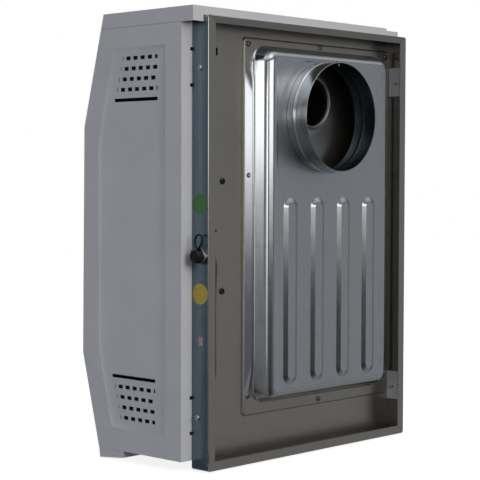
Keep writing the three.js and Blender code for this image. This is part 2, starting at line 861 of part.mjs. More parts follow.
function topCover() {
  const skirtBottom = casingTop - coverSkirt;
  const outer = outline([
    [-coverRearGap, skirtBottom],
    [-coverRearGap, casingTop],
    [-frontAtTop, casingTop],
    [frontAt(skirtBottom), skirtBottom],
  ].reverse());
  const inner = outline([
    [-coverRearGap - paintedSheet, skirtBottom - past],
    [-coverRearGap - paintedSheet, casingTop - paintedSheet],
    [-frontAtTop + paintedSheet, casingTop - paintedSheet],
    [frontAt(skirtBottom) + paintedSheet, skirtBottom - past],
  ].reverse());
  const tools = [
    alongX(inner, -casingSide + paintedSheet, casingSide - paintedSheet),
    box(-traySide - seat, traySide + seat, plateFront - seat, 0, skirtBottom - past, trayTop + seat),
    box(-casingSide - past, coverRearEnd, panelRear, 0, skirtBottom - past, casingTop + past),
  ];
  for (let i = 0; i < coverSlots; i += 1) {
    const x = (i - (coverSlots - 1) / 2) * coverSlotPitch;
    tools.push(box(
      x - coverSlotWidth / 2, x + coverSlotWidth / 2, -coverSlotFront, -coverSlotRear,
      casingTop - 2 * paintedSheet, casingTop + past,
    ));
  }
  const closing = join(
    box(-casingSide, coverRearEnd + paintedSheet, panelRear - paintedSheet, panelRear,
      skirtBottom, casingTop),
    box(coverRearEnd, coverRearEnd + paintedSheet, panelRear - paintedSheet, -coverRearGap,
      trayTop + seat, casingTop),
  );
  return join(cut(alongX(outer, -casingSide, casingSide), ...tools), closing);
}

function bottomFascia() {
  const top = casingBottom - seat;
  const outer = outline([
    [-fasciaRear, top],
    [-frontAtBottom, top],
    [-fasciaFront, casingBottom - fasciaFrontDrop],
    [-fasciaRear, casingBottom - fasciaRearDrop],
  ]);
  const inner = outline([
    [-fasciaRear - paintedSheet, top + past],
    [-frontAtBottom + paintedSheet, top + past],
    [-fasciaFront + paintedSheet, casingBottom - fasciaFrontDrop + paintedSheet],
    [-fasciaRear - paintedSheet, casingBottom - fasciaRearDrop + paintedSheet],
  ]);
  return cut(
    alongX(outer, -casingSide, casingSide),
    alongX(inner, -casingSide + paintedSheet, casingSide - paintedSheet),
  );
}

function casingScrew(side, index) {
  const z = tabHeights[index] - casingScrewDrop;
  const y = -casingScrewDepths[index];
  const body = join(
    rodX(y, z, traySide, traySide + screwHeadHeight, screwHead, headSides),
    rodX(y, z, traySide - casingScrewLength, traySide + screwHeadHeight / 2, screwShank, screwSides),
  );
  return side > 0 ? body : mirrorX(body);
}

// ---------------------------------------------------------------- combustion chamber
function chamberShell(face, flangeFrom, flangeTo) {
  const pan = {
    left: chamberLeft,
    right: chamberRight,
    bottom: chamberBottom,
    top: chamberTop,
    corner: chamberCorner,
    rim: -chamberSeam,
    face,
    slope: 90,
    foot: 0,
    footSteps: 0,
    edge: chamberEdge,
    edgeSteps: 1,
    endShare: 1,
    arcSteps: 2,
  };
  const flange = alongY(roundedBox(
    chamberLeft - chamberFlange, chamberRight + chamberFlange,
    chamberBottom - chamberFlange, chamberTop + chamberFlange, chamberCorner,
  ), flangeFrom, flangeTo, 2);
  return cut(join(flange, panBody(pan, 0, 0)), panBody(pan, chamberSheet, past));
}

function chamberRearShell() {
  const wallHole = (fromWall, z, radius) => rodX(
    -fromWall, z, chamberRight - 2 * chamberSheet, chamberRight + past, radius + seat, 10,
  );
  return cut(
    chamberShell(-chamberRear, -chamberSeam, -chamberSeam + chamberSheet),
    rodY(flueX, exhaustZ, -chamberRear - 2 * chamberSheet, -chamberRear + past, exhaustRadius + exhaustWall,
      exhaustSides),
    airHole(-chamberRear - 2 * chamberSheet, -chamberRear + past),
    wallHole(burnerFromWall, burnerZ, injectorRadius),
    wallHole(pilotFromWall, pilotZ, pilotRadius),
    wallHole(coupleFromWall, pilotZ, coupleRadius),
    wallHole(sparkFromWall, pilotZ, sparkRadius),
  );
}

function chamberFrontShell() {
  return cut(
    chamberShell(-chamberFront, -chamberSeam - chamberSheet, -chamberSeam),
    rodY(sightX, sightZ, -chamberFront - past, -chamberFront + 2 * chamberSheet, sightHole, 16),
  );
}

function chamberBracket(x, z) {
  // a channel between the tray and the chamber
  const half = bracketWidth / 2;
  return cut(
    box(x - half, x + half, -chamberRear, plateFront, z, z + bracketHeight),
    box(x - half + chamberSheet, x + half - chamberSheet, -chamberRear + chamberSheet, plateFront + past,
      z - past, z + bracketHeight + past),
  );
}

function airDuct() {
  return cut(
    box(airDuctLeft, airDuctRight, -chamberRear, plateFront, airDuctBottom, airDuctTop),
    box(airDuctLeft + zincSheet, airDuctRight - zincSheet, -chamberRear - past, plateFront + past,
      airDuctBottom + zincSheet, airDuctTop - zincSheet),
  );
}

function baffle() {
  return box(
    chamberLeft + chamberSheet + seat, chamberRight - chamberSheet - seat,
    -chamberSeam - baffleReach, -chamberSeam + baffleReach,
    baffleHeight, baffleHeight + chamberSheet,
  );
}

function heatShield() {
  const right = chamberRight + shieldGap;
  const left = chamberLeft - shieldGap;
  const foot = -chamberSeam - chamberSheet;
  return cut(
    box(left - chamberSheet, right + chamberSheet, -shieldDistance - chamberSheet, foot,
      shieldBottom, shieldTop),
    box(left, right, -shieldDistance, foot + past, shieldBottom - past, shieldTop + past),
    rodY(sightX, sightZ, -shieldDistance - 3, -shieldDistance + past, sightGlassRadius + sightRim + 4, 16),
  );
}

function sightGlass() {
  return rodY(sightX, sightZ, -chamberFront - sightGlassThickness, -chamberFront, sightGlassRadius, 20);
}

function sightFrame() {
  const back = -chamberFront;
  const step = back - sightGlassThickness - seat;
  return turned([
    [sightGlassRadius + seat, back],
    [sightGlassRadius + sightRim, back],
    [sightGlassRadius + sightRim, step - 1.5],
    [sightHole, step - 1.5],
    [sightHole, step],
    [sightGlassRadius + seat, step],
  ], sightX, sightZ, 20);
}

// ---------------------------------------------------------------- burner line
function burnerTube() {
  const y = -burnerFromWall;
  const tools = [
    rodX(y, burnerZ, burnerLeft + burnerWall, burnerRight + past, burnerRadius - burnerWall, 16),
  ];
  const span = burnerRight - burnerLeft - 2 * burnerSlotMargin;
  for (let i = 0; i < burnerSlots; i += 1) {
    const x = burnerLeft + burnerSlotMargin + (span * i) / (burnerSlots - 1);
    tools.push(box(
      x - burnerSlotWidth / 2, x + burnerSlotWidth / 2, y - burnerRadius / 2, y + burnerRadius / 2,
      burnerZ + burnerRadius / 2, burnerZ + burnerRadius + past,
    ));
  }
  return cut(rodX(y, burnerZ, burnerLeft, burnerRight, burnerRadius, 16), ...tools);
}

function burnerBracket() {
  // a strip on the chamber's floor with an upright round each end of the burner
  const y = -burnerFromWall;
  const half = burnerBracketWidth / 2;
  const floor = chamberBottom + chamberSheet + seat;
  const [left, right] = burnerBrackets;
  const strap = box(left, right + chamberSheet, y - half, y + half, floor, floor + chamberSheet);
  const uprights = burnerBrackets.map((x) => (
    box(x, x + chamberSheet, y - half, y + half, floor, burnerZ + burnerRadius + 4)
  ));
  return cut(
    join(strap, ...uprights),
    rodX(y, burnerZ, left - past, right + chamberSheet + past, burnerRadius + seat, 16),
  );
}

function injector() {
  const y = -burnerFromWall;
  return join(
    rodX(y, burnerZ, burnerRight + seat, chamberRight + 14, injectorRadius, 12),
    hexX(y, burnerZ, chamberRight + seat, chamberRight + 8, 16),
    rodX(y, burnerZ, burnerRight - 12, burnerRight + 1, 3, 10),
  );
}

const valveLeft = valveX - valveWidth / 2;
const valveRight = valveX + valveWidth / 2;
const feedY = -125;
const pilotOut = [valveLeft - seat, -150, 162];
const coupleOut = [valveLeft - seat, -135, 188];
const pipeIn = [valveRight + seat, -140, 168];
const capillaryIn = [valveRight + seat, -158, 160];

function feedPipe() {
  return tube([
    [valveX, feedY, valveBottom - seat],
    [valveX, feedY, 144],
    [150, -116, 129],
    [136, -102, burnerZ],
    [118, -burnerFromWall, burnerZ],
    [chamberRight + 14 + seat, -burnerFromWall, burnerZ],
  ], 4, 8, 14);
}

function pilotBurner() {
  const y = -pilotFromWall;
  return join(
    rodX(y, pilotZ, 60, chamberRight + 8, pilotRadius - 1, 12),
    rodX(y, pilotZ, 60, 72, pilotRadius, 12),
    hexX(y, pilotZ, chamberRight + seat, chamberRight + 5, 12),
  );
}

function pilotTube() {
  return tube([
    [chamberRight + 8 + seat, -pilotFromWall, pilotZ],
    [chamberRight + 12, -pilotFromWall, pilotZ],
    [117, -106, 156],
    [122, -142, 162],
    [valveLeft - 4, -150, 162],
    pilotOut,
  ], 2, 6, 14);
}

function thermocouple() {
  // the probe and its lead to the valve, which are one piece
  const probe = rodX(-coupleFromWall, pilotZ, 58, chamberRight + 8, coupleRadius - 0.4, 8);
  const lead = tube([
    [chamberRight + 7, -coupleFromWall, pilotZ],
    [114, -82, 158],
    [119, -104, 178],
    [valveLeft - 5, -134, 188],
    coupleOut,
  ], 1.2, 6, 14);
  return join(probe, lead);
}

function sparkElectrode() {
  const y = -sparkFromWall;
  return join(
    rodX(y, pilotZ, 70, chamberRight + 10, sparkRadius, 12),
    rodX(y, pilotZ, 56, 71, 1, 6),
  );
}

const igniterFront = frontAt(valveZ) + paintedSheet + seat;
const igniterRear = igniterFront + igniterLength;

function ignitionLead() {
  return tube([
    [chamberRight + 10 + seat, -sparkFromWall, pilotZ],
    [chamberRight + 14, -sparkFromWall, pilotZ],
    [118, -150, 138],
    [140, -186, 136],
    [180, -190, 142],
    [203, -184, 160],
    [buttonX, -182, 174],
    [buttonX, igniterRear + 6, valveZ],
    [buttonX, igniterRear + seat, valveZ],
  ], 1.5, 6, 22);
}

// ---------------------------------------------------------------- valve and controls
function gasValve() {
  const body = join(
    box(valveLeft, valveRight, -valveFront, -valveRear, valveBottom, valveTop),
    rodY(valveX, valveZ, -valveBossFront, -valveFront + past, valveBoss, 16),
  );
  const boreEnd = -spindleEnd + pushRodLength + knobTravel + spindleGap;
  return cut(body, rodY(valveX, valveZ, -valveBossFront - past, boreEnd, spindleRadius + spindleGap, 12));
}

function valveBracket() {
  const shelf = box(valveLeft, valveRight, -valveFront, plateFront, valveBottom - chamberSheet, valveBottom);
  const foot = box(valveLeft, valveRight, plateFront - chamberSheet, plateFront, valveBottom - 25, valveBottom);
  return cut(join(shelf, foot), rodZ(valveX, feedY, valveBottom - 5, valveBottom + past, 5, 10));
}

function pushRod() {
  return rodY(valveX, valveZ, -spindleEnd, -spindleEnd + pushRodLength, spindleRadius, 12);
}

const knobBack = frontAt(bezelBottom) - bezelThickness - seat - knobTravel - 1;

function spindle() {
  return rodY(valveX, valveZ, knobBack - knobDepth + knobWall + 1, -spindleEnd - seat, spindleRadius, 12);
}

function knob() {
  const front = knobBack - knobDepth;
  const skirt = turned([
    [spindleRadius + seat, knobBack],
    [knobRadius, knobBack],
    [knobRadius, knobBack - 5],
    [knobRadius - 2, front + 2],
    [knobRadius - 4, front],
    [0, front],
    [0, front + knobWall],
    [spindleRadius + seat, front + knobWall],
  ], valveX, valveZ, 28);
  const grip = box(valveX - 4, valveX + 4, front - 4, front + 2, valveZ - knobRadius + 3,
    valveZ + knobRadius - 3);
  return join(skirt, grip);
}

function bezel() {
  const back = [
    [frontAt(bezelTop) - seat, bezelTop],
    [frontAt(bezelBottom) - seat, bezelBottom],
  ];
  const plane = Math.min(back[0][0], back[1][0]) - bezelThickness;
  const body = alongX(outline([back[0], [plane, bezelTop], [plane, bezelBottom], back[1]]),
    bezelLeft, bezelRight);
  return cut(
    body,
    rodY(valveX, valveZ, plane - past, plane + 6, spindleRadius + 1, 12),
    rodY(buttonX, valveZ, plane - past, plane + 6, buttonRadius + seat, 16),
  );
}

function igniterBody() {
  const flange = rodY(buttonX, valveZ, igniterFront, igniterFront + 3, igniterFlange, 16);
  const barrel = rodY(buttonX, valveZ, igniterFront, igniterRear, igniterRadius, 16);
  const room = rodY(buttonX, valveZ, igniterFront - 3, igniterFront + 12, buttonRadius - 1.5, 12);
  return cut(join(flange, barrel), room);
}

function igniterButton() {
  const face = knobBack - 4;
  const shoulder = igniterFront - buttonTravel - seat;
  return join(
    rodY(buttonX, valveZ, face, shoulder, buttonRadius, 16),
    rodY(buttonX, valveZ, shoulder - 1, igniterFront + 6, buttonRadius - 2, 12),
  );
}

function thermostatBulb() {
  // the bulb and its capillary tube to the valve, which are one piece
  const bulb = rodX(-bulbFromWall, bulbZ, bulbLeft, bulbRight, bulbRadius, 12);
  const capillary = tube([
    [bulbRight - 1, -bulbFromWall, bulbZ],
    [142, -60, 43],
    [166, -78, 60],
    [186, -116, 100],
    [192, -150, 140],
    [189, -157, 157],
    [valveRight + 4, -158, 160],
    capillaryIn,
  ], 1.2, 6, 20);
  return join(bulb, capillary);
}

function bulbClip() {
  const x = (bulbLeft + bulbRight) / 2;
  const arm = box(x - 5, x + 5, -bulbFromWall - 8, plateFront, bulbZ - 6, bulbZ + 6);
  const gap = box(x - 6, x + 6, -bulbFromWall + 7, plateFront - 1.5, bulbZ - 4.5, bulbZ + 7);
  return cut(arm, gap, rodX(-bulbFromWall, bulbZ, x - 6, x + 6, bulbRadius + seat, 12));
}

// ---------------------------------------------------------------- gas inlet
const inletEnd = traySide + inletReach;

function inletFitting() {
  const y = -inletFromWall;
  const body = join(
    rodX(y, inletZ, traySide - 14, inletEnd, inletThread, 16),
    hexX(y, inletZ, traySide - zincSheet - 6, traySide - zincSheet, inletNutAcross - 3),
  );
  return cut(body, rodX(y, inletZ, traySide + 2, inletEnd + past, inletBore, 12));
}

function inletNut() {
  const y = -inletFromWall;
  return cut(
    hexX(y, inletZ, traySide, traySide + inletNutThickness, inletNutAcross),
    rodX(y, inletZ, traySide - past, traySide + inletNutThickness + past, inletThread + seat, 16),
  );
}

function inletCap() {
  const y = -inletFromWall;
  const end = inletEnd + seat + capWall;
  const mouth = end - capDepth;
  const cup = cut(
    rodX(y, inletZ, mouth, end, capRadius, 16),
    rodX(y, inletZ, mouth - past, inletEnd + seat, inletThread + seat, 16),
  );
  // pull loop: a teardrop with its point down, on a short strap from the cap
  const loopY = y - 0.4;
  const low = inletZ + inletNutAcross / 2 + 2;
  const middle = low + 14;
  const teardrop = (radius, point) => {
    const shape = new THREE.Shape();
    shape.moveTo(loopY - 5, point);
    shape.lineTo(loopY + radius * 0.8, middle - radius * 0.6);
    shape.absarc(loopY, middle, radius, -Math.PI * 0.2, Math.PI * 1.1, false);
    shape.lineTo(loopY - 5, point);
    return shape;
  };
  const loopX = traySide + 1;
  const loop = cut(
    alongX(teardrop(9.6, low), loopX, loopX + loopThickness, 5),
    alongX(teardrop(6.2, middle - 8), loopX - past, loopX + loopThickness + past, 5),
  );
  const strap = box(loopX, end, loopY - 7.5, loopY - 2.5, low - 0.6, low + 1.6);
  const web = box(mouth, end, loopY - 7.5, loopY - 2.5, inletZ + inletThread + 2 * seat, low + 1);
  return join(cup, loop, strap, web);
}

function gasPipe() {
  return tube([
    [traySide - 14 - seat, -inletFromWall, inletZ],
    [traySide - 18, -inletFromWall, inletZ],
    [203, -13, 291.5],
    [199.4, -13.6, 283],
    [198, -16, 262],
    [196.5, -19, 210],
    [pipeHoleX, -20, 160],
    [pipeHoleX, -20, 128],
    [pipeHoleX, -24, 115],
    [pipeHoleX, plateFront, pipeHoleZ],
    [pipeHoleX, -46, 112],
    [196, -80, 122],
    [196, -118, 150],
    [194, -136, 165],
    [valveRight + 6, -140, 168],
    pipeIn,
  ], pipeRadius, 8, 34);
}

// ---------------------------------------------------------------- assembly
add('back_tray', backTray(), zinc);
add('air_box_gasket', gasket(), gasketFibre);
add('air_box', airBox(), zinc);
add('flue_collar', flueCollar(), zinc);
add('collar_screw', collarScrew(), steel);
add('exhaust_outlet', exhaustOutlet(), steel);
add('exhaust_duct', exhaustDuct(), steel);
boxScrews.forEach(([x, z], i) => {
  add(`air_box_screw_${i + 1}`, screwY(x, z, boxRim, boxScrewLength), steel);
});
plateScrews.forEach(([x, z], i) => {
  add(`plate_screw_${i + 1}`, screwY(x, z, plateRear, plateScrewLength), steel);
});
[1, -1].forEach((side) => {
  const name = side > 0 ? 'gas_side' : 'far_side';
  tabHeights.forEach((z, i) => add(`casing_screw_${name}_${i + 1}`, casingScrew(side, i), steel));
});
const panel = sidePanel();
add('side_panel_gas_side', panel, whitePaint);
add('side_panel_far_side', mirrorX(panel), whitePaint);
add('front_panel', frontPanel(), whitePaint);
add('top_cover', topCover(), whitePaint);
add('bottom_fascia', bottomFascia(), whitePaint);

add('chamber_rear_shell', chamberRearShell(), darkEnamel);
add('chamber_front_shell', chamberFrontShell(), darkEnamel);
add('chamber_baffle', baffle(), darkEnamel);
bracketPlaces.forEach(([x, z], i) => {
  add(`chamber_bracket_${i + 1}`, chamberBracket(x, z), zinc);
});
add('air_duct', airDuct(), zinc);
add('heat_shield', heatShield(), zinc);
add('sight_glass', sightGlass(), glassFinish);
add('sight_glass_frame', sightFrame(), steel);

add('burner_tube', burnerTube(), steel);
add('burner_bracket', burnerBracket(), steel);
add('injector', injector(), brass);
add('burner_feed_pipe', feedPipe(), copper);
add('pilot_burner', pilotBurner(), brass);
add('pilot_tube', pilotTube(), copper);
add('thermocouple', thermocouple(), steel);
add('spark_electrode', sparkElectrode(), ceramic);
add('ignition_lead', ignitionLead(), blackPlastic);

add('gas_valve', gasValve(), greyPlastic);
add('valve_bracket', valveBracket(), zinc);
add('valve_push_rod', pushRod(), brass);
add('valve_spindle', spindle(), steel);
add('control_knob', knob(), blackPlastic);
add('control_bezel', bezel(), greyPlastic);
add('igniter_body', igniterBody(), blackPlastic);
add('igniter_button', igniterButton(), blackPlastic);
add('thermostat_bulb', thermostatBulb(), copper);
add('bulb_clip', bulbClip(), zinc);

add('inlet_fitting', inletFitting(), brass);
add('inlet_nut', inletNut(), steel);
add('inlet_cap', inletCap(), blackPlastic);
add('gas_pipe', gasPipe(), copper);

export default heater;
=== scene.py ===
# Looks of the wall mounted gas heater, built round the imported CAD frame.
# Metres, +Z up. The wall is the plane y = 0, the heater stands on its -Y side, and +X is the gas side.
import json
import math

import bmesh
import bpy
from mathutils import Matrix, Vector
from mathutils.geometry import delaunay_2d_cdt

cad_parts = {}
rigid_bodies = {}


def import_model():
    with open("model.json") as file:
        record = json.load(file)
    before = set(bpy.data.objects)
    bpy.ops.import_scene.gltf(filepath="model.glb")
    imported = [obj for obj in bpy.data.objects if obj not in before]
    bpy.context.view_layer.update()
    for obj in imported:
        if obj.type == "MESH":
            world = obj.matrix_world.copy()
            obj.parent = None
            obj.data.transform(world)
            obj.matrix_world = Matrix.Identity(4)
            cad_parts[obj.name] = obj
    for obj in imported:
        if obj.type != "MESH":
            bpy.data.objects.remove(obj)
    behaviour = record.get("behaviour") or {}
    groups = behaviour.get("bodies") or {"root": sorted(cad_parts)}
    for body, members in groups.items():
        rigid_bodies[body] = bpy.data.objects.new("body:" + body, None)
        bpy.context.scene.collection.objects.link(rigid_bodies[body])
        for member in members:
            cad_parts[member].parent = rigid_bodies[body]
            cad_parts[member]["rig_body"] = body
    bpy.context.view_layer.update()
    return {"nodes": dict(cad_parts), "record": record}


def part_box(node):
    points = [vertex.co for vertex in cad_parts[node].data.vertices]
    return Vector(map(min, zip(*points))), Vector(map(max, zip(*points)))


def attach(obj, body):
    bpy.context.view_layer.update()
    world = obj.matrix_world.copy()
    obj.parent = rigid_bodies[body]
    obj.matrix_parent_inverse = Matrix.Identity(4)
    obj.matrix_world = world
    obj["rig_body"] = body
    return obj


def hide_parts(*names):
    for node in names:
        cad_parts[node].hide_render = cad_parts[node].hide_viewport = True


MM = 0.001
FLAT = 0.995  # a face whose normal has this much along an axis counts as square to it
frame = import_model()
nodes = frame["nodes"]
scene = bpy.context.scene

# ------------------------------------------------------------------ camera
# Fitted to the photo: where the camera stands, where it looks, its roll and its focal length.
EYE = (1.6709, 1.4252, 0.4034)
VIEW = Vector((-0.7267, -0.6857, -0.0420)).normalized()
ROLL = math.radians(0.16)
FOCAL_MM = 110.06
side = VIEW.cross(Vector((0, 0, 1))).normalized()
up = side.cross(VIEW).normalized()
right = side * math.cos(ROLL) + up * math.sin(ROLL)
above = up * math.cos(ROLL) - side * math.sin(ROLL)
lens = bpy.data.cameras.new("camera")
lens.sensor_width = 36
lens.lens = FOCAL_MM
lens.clip_start = 0.05
lens.clip_end = 60
camera = bpy.data.objects.new("camera", lens)
scene.collection.objects.link(camera)
camera.matrix_world = Matrix((
    (right.x, above.x, -VIEW.x, EYE[0]),
    (right.y, above.y, -VIEW.y, EYE[1]),
    (right.z, above.z, -VIEW.z, EYE[2]),
    (0, 0, 0, 1),
))
scene.camera = camera
scene.view_settings.view_transform = "Standard"
scene.view_settings.look = "None"


# ------------------------------------------------------------------ node helpers
class Tree:
    """Small helper for writing node trees."""

    def __init__(self, tree):
        self.tree = tree

    def node(self, kind, **settings):
        made = self.tree.nodes.new(kind)
        for key, value in settings.items():
            setattr(made, key, value)
        return made

    def link(self, source, target):
        self.tree.links.new(source, target)

    def math(self, operation, first, second=None, clamp=False):
        made = self.node("ShaderNodeMath", operation=operation, use_clamp=clamp)
        for index, value in enumerate((first, second)):
            if value is None:
                continue
            if isinstance(value, (int, float)):
                made.inputs[index].default_value = value
            else:
                self.link(value, made.inputs[index])
        return made.outputs[0]

    def ramp(self, factor, stops):
        """Colours along a factor; each stop is (place, grey or colour)."""
        made = self.node("ShaderNodeValToRGB")
        ramp = made.color_ramp
        ramp.interpolation = "LINEAR"
        while len(ramp.elements) > 1:
            ramp.elements.remove(ramp.elements[-1])
        for index, (place, value) in enumerate(stops):
            element = ramp.elements[0] if index == 0 else ramp.elements.new(place)
            element.position = place
            shade = value if isinstance(value, (tuple, list)) else (value, value, value)
            element.color = (*shade, 1)
        self.link(factor, made.inputs[0])
        return made.outputs[0]

    def mix(self, factor, first, second, blend="MIX"):
        """Two colours mixed; the RGBA sockets of this node are 6 and 7, and its result is 2."""
        made = self.node("ShaderNodeMix", data_type="RGBA", blend_type=blend)
        for socket, value in ((made.inputs[0], factor), (made.inputs[6], first), (made.inputs[7], second)):
            if isinstance(value, (int, float)):
                socket.default_value = value
            elif isinstance(value, (tuple, list)):
                socket.default_value = (*value[:3], 1)
            else:
                self.link(value, socket)
        return made.outputs[2]


# ------------------------------------------------------------------ world
def build_world():
    """A studio round the object, set by direction: tall lights, a dim room and a pale dome; the camera sees white.

    Every stop is (degrees, grey or colour), by azimuth (0 is +X, 90 is +Y) and then by height over the horizon.
    """
    world = bpy.data.worlds.new("studio")
    scene.world = world
    world.use_nodes = True
    world.node_tree.nodes.clear()
    t = Tree(world.node_tree)
    place = t.node("ShaderNodeTexCoord")
    split = t.node("ShaderNodeSeparateXYZ")
    t.link(place.outputs["Generated"], split.inputs[0])
    turn = t.math("ARCTAN2", split.outputs["Y"], split.outputs["X"])
    azimuth = t.math("ADD", t.math("DIVIDE", turn, 2 * math.pi), 0.5)
    rise = t.math("ARCSINE", split.outputs["Z"])
    height = t.math("ADD", t.math("DIVIDE", rise, math.pi), 0.5)

    def at(degrees):
        return (degrees + 180) / 360

    def up_at(degrees):
        return (degrees + 90) / 180

    def strip(stops, heights, strength):
        """One part of the studio: its colours by azimuth, times its shade by height."""
        across = t.ramp(azimuth, [(at(place_at), value) for place_at, value in stops])
        upward = t.ramp(height, [(up_at(place_at), value) for place_at, value in heights])
        part = t.mix(1.0, across, upward, "MULTIPLY")
        return t.mix(1.0, part, (strength, strength, strength), "MULTIPLY")

    left_light = strip(
        [
            (-180, 0), (-38, 0), (-34, (0.7, 0.72, 0.76)), (4, (0.7, 0.72, 0.76)),
            (9, 0.8), (23, 0.8), (27, 0), (180, 0),
        ],
        [(-4.5, 0), (-2.6, 0.08), (0.0, 0.2), (0.6, 1.0), (12, 1.0), (20, 0)],
        2.3,
    )
    thin_light = strip(
        [(-180, 0), (37, 0), (40, 1), (45, 1), (48, 0), (180, 0)],
        [(-9, 0), (-4, 0.3), (0, 1), (7, 1.0), (12, 0)],
        2.4,
    )
    right_light = strip(
        [(-180, 0), (76, 0), (79, 1), (113, 1), (116, 0), (180, 0)],
        [(-3.0, 0), (-2.2, 0.22), (0.0, 0.42), (0.6, 1.0), (9, 1.0), (15, 0)],
        1.75,
    )
    room = strip(
        [
            (-180, 0.1), (-90, 0.05), (-60, (0.1, 0.125, 0.15)), (-40, (0.11, 0.14, 0.16)), (0, 0.16),
            (26, 0.2), (60, 0.2), (76, 0.07), (103, 0.04), (109, (0.12, 0.13, 0.15)), (118, (0.14, 0.15, 0.17)),
            (127, (0.27, 0.28, 0.29)), (150, (0.32, 0.33, 0.34)), (180, 0.2),
        ],
        [(-90, 0.6), (-12, 0.8), (-4, 1.0), (0, 0.95), (4, 0.75), (14, 0.75), (26, 0.9), (90, 0.9)],
        1.0,
    )
    dome = strip(
        [
            (-180, 0.2), (-70, (0.28, 0.29, 0.36)), (-20, (0.5, 0.52, 0.64)), (20, (0.62, 0.64, 0.74)),
            (50, 0.6), (60, 0.7), (66, 1.6), (100, 1.6), (110, 0.4), (158, 0.3), (180, 0.2),
        ],
        [(-90, 0), (16, 0), (32, 1.0), (60, 1.0), (90, 0.5)],
        1.0,
    )
    front_light = strip(
        [(-180, 0.3), (-158, 0.4), (-145, 1), (-100, 1), (-86, 0), (180, 0)],
        [(-90, 0.8), (30, 1), (45, 0.4), (90, 0.4)],
        1.0,
    )
    light = left_light
    for part in (thin_light, right_light, room, dome, front_light):
        light = t.mix(1.0, light, part, "ADD")
    seen = t.node("ShaderNodeLightPath").outputs["Is Camera Ray"]
    light = t.mix(seen, light, (1, 1, 1))
    background = t.node("ShaderNodeBackground")
    t.link(light, background.inputs["Color"])
    background.inputs["Strength"].default_value = 1.0
    out = t.node("ShaderNodeOutputWorld")
    t.link(background.outputs[0], out.inputs["Surface"])


build_world()


def build_soft_light():
    """A large soft box on the wall side; metal doesn't mirror it."""
    azimuth, height, away = math.radians(80), math.radians(16), 2.2
    middle = Vector((0.1, -0.1, 0.32))
    lamp = bpy.data.lights.new("soft_box", "AREA")
    lamp.shape = "SQUARE"
    lamp.size = 1.0
    lamp.energy = 21.0
    box = bpy.data.objects.new("soft_box", lamp)
    scene.collection.objects.link(box)
    level = math.cos(height)
    way = Vector((math.cos(azimuth) * level, math.sin(azimuth) * level, math.sin(height)))
    box.location = middle + way * away
    box.rotation_euler = way.to_track_quat("Z", "Y").to_euler()
    box.visible_glossy = False
    box.visible_camera = False


build_soft_light()


# ------------------------------------------------------------------ floor
def build_floor():
    """A white disc just under the heater, which catches its shadow and lights nothing."""
    radius, place, glow = 1.3, (-0.1, -0.15, -0.0095), 0.86
    mesh = bpy.data.meshes.new("floor")
    shape = bmesh.new()
    bmesh.ops.create_circle(shape, cap_ends=True, segments=96, radius=radius)
    shape.to_mesh(mesh)
    shape.free()
    floor = bpy.data.objects.new("floor", mesh)
    floor.location = place
    scene.collection.objects.link(floor)
    material = bpy.data.materials.new("floor_white")
    material.use_nodes = True
    shader = material.node_tree.nodes["Principled BSDF"]
    shader.inputs["Base Color"].default_value = (0.3, 0.3, 0.3, 1)
    shader.inputs["Roughness"].default_value = 1.0
    shader.inputs["Specular IOR Level"].default_value = 0.0
    shader.inputs["Emission Color"].default_value = (1, 1, 1, 1)
    shader.inputs["Emission Strength"].default_value = glow
    mesh.materials.append(material)
    floor.visible_glossy = False
    floor.visible_diffuse = False


build_floor()


# ------------------------------------------------------------------ materials
def new_material(name):
    material = bpy.data.materials.new(name)
    material.use_nodes = True
    shader = material.node_tree.nodes["Principled BSDF"]
    return material, Tree(material.node_tree), shader


def object_place(t, scale=(1, 1, 1)):
    place = t.node("ShaderNodeTexCoord")
    mapping = t.node("ShaderNodeMapping")
    mapping.inputs["Scale"].default_value = scale
    t.link(place.outputs["Object"], mapping.inputs["Vector"])
    return mapping.outputs[0]


def noise_at(t, vector, scale, detail=2.0, rough=0.5):
    made = t.node("ShaderNodeTexNoise")
    made.inputs["Scale"].default_value = scale
    made.inputs["Detail"].default_value = detail
    made.inputs["Roughness"].default_value = rough
    t.link(vector, made.inputs["Vector"])
    return made.outputs[0]


def bump(t, shader, height, distance, strength=1.0, after=None):
    made = t.node("ShaderNodeBump")
    made.inputs["Distance"].default_value = distance
    made.inputs["Strength"].default_value = strength
    t.link(height, made.inputs["Height"])
    if after is not None:
        t.link(after, made.inputs["Normal"])
    t.link(made.outputs[0], shader.inputs["Normal"])
    return made.outputs[0]


FINE_DEPTH = 0.000004  # of the rolling streaks, in metres


def metal(name, colour, roughness, streaks, grain, wave, fine=0.3):
    """Rolled sheet or turned metal: base colour with fine rolling streaks, mottling and slow waves.

    streaks and grain are shares of the colour, wave is a depth in metres, fine is the streaks' strength.
    """
    material, t, shader = new_material(name)
    shader.inputs["Metallic"].default_value = 1.0
    flow = object_place(t, (60, 60, 2.2))
    lines = noise_at(t, flow, 9.0, 3.0, 0.6)
    patches = noise_at(t, object_place(t), 55.0, 3.0, 0.55)
    slow = noise_at(t, object_place(t, (1, 1, 0.35)), 9.0, 2.0, 0.5)
    dark = tuple(c * (1 - streaks - grain) for c in colour)
    light = tuple(min(1.0, c * (1 + streaks + grain)) for c in colour)
    both = t.math("ADD", t.math("MULTIPLY", lines, 0.55), t.math("MULTIPLY", patches, 0.45))
    shade = t.ramp(both, [(0.25, dark), (0.75, light)])
    t.link(shade, shader.inputs["Base Color"])
    rough = t.math("ADD", t.math("MULTIPLY", t.math("SUBTRACT", both, 0.5), 0.1), roughness, clamp=True)
    t.link(rough, shader.inputs["Roughness"])
    waves = bump(t, shader, slow, wave)
    if fine > 0:
        bump(t, shader, lines, FINE_DEPTH, fine, waves)
    return material


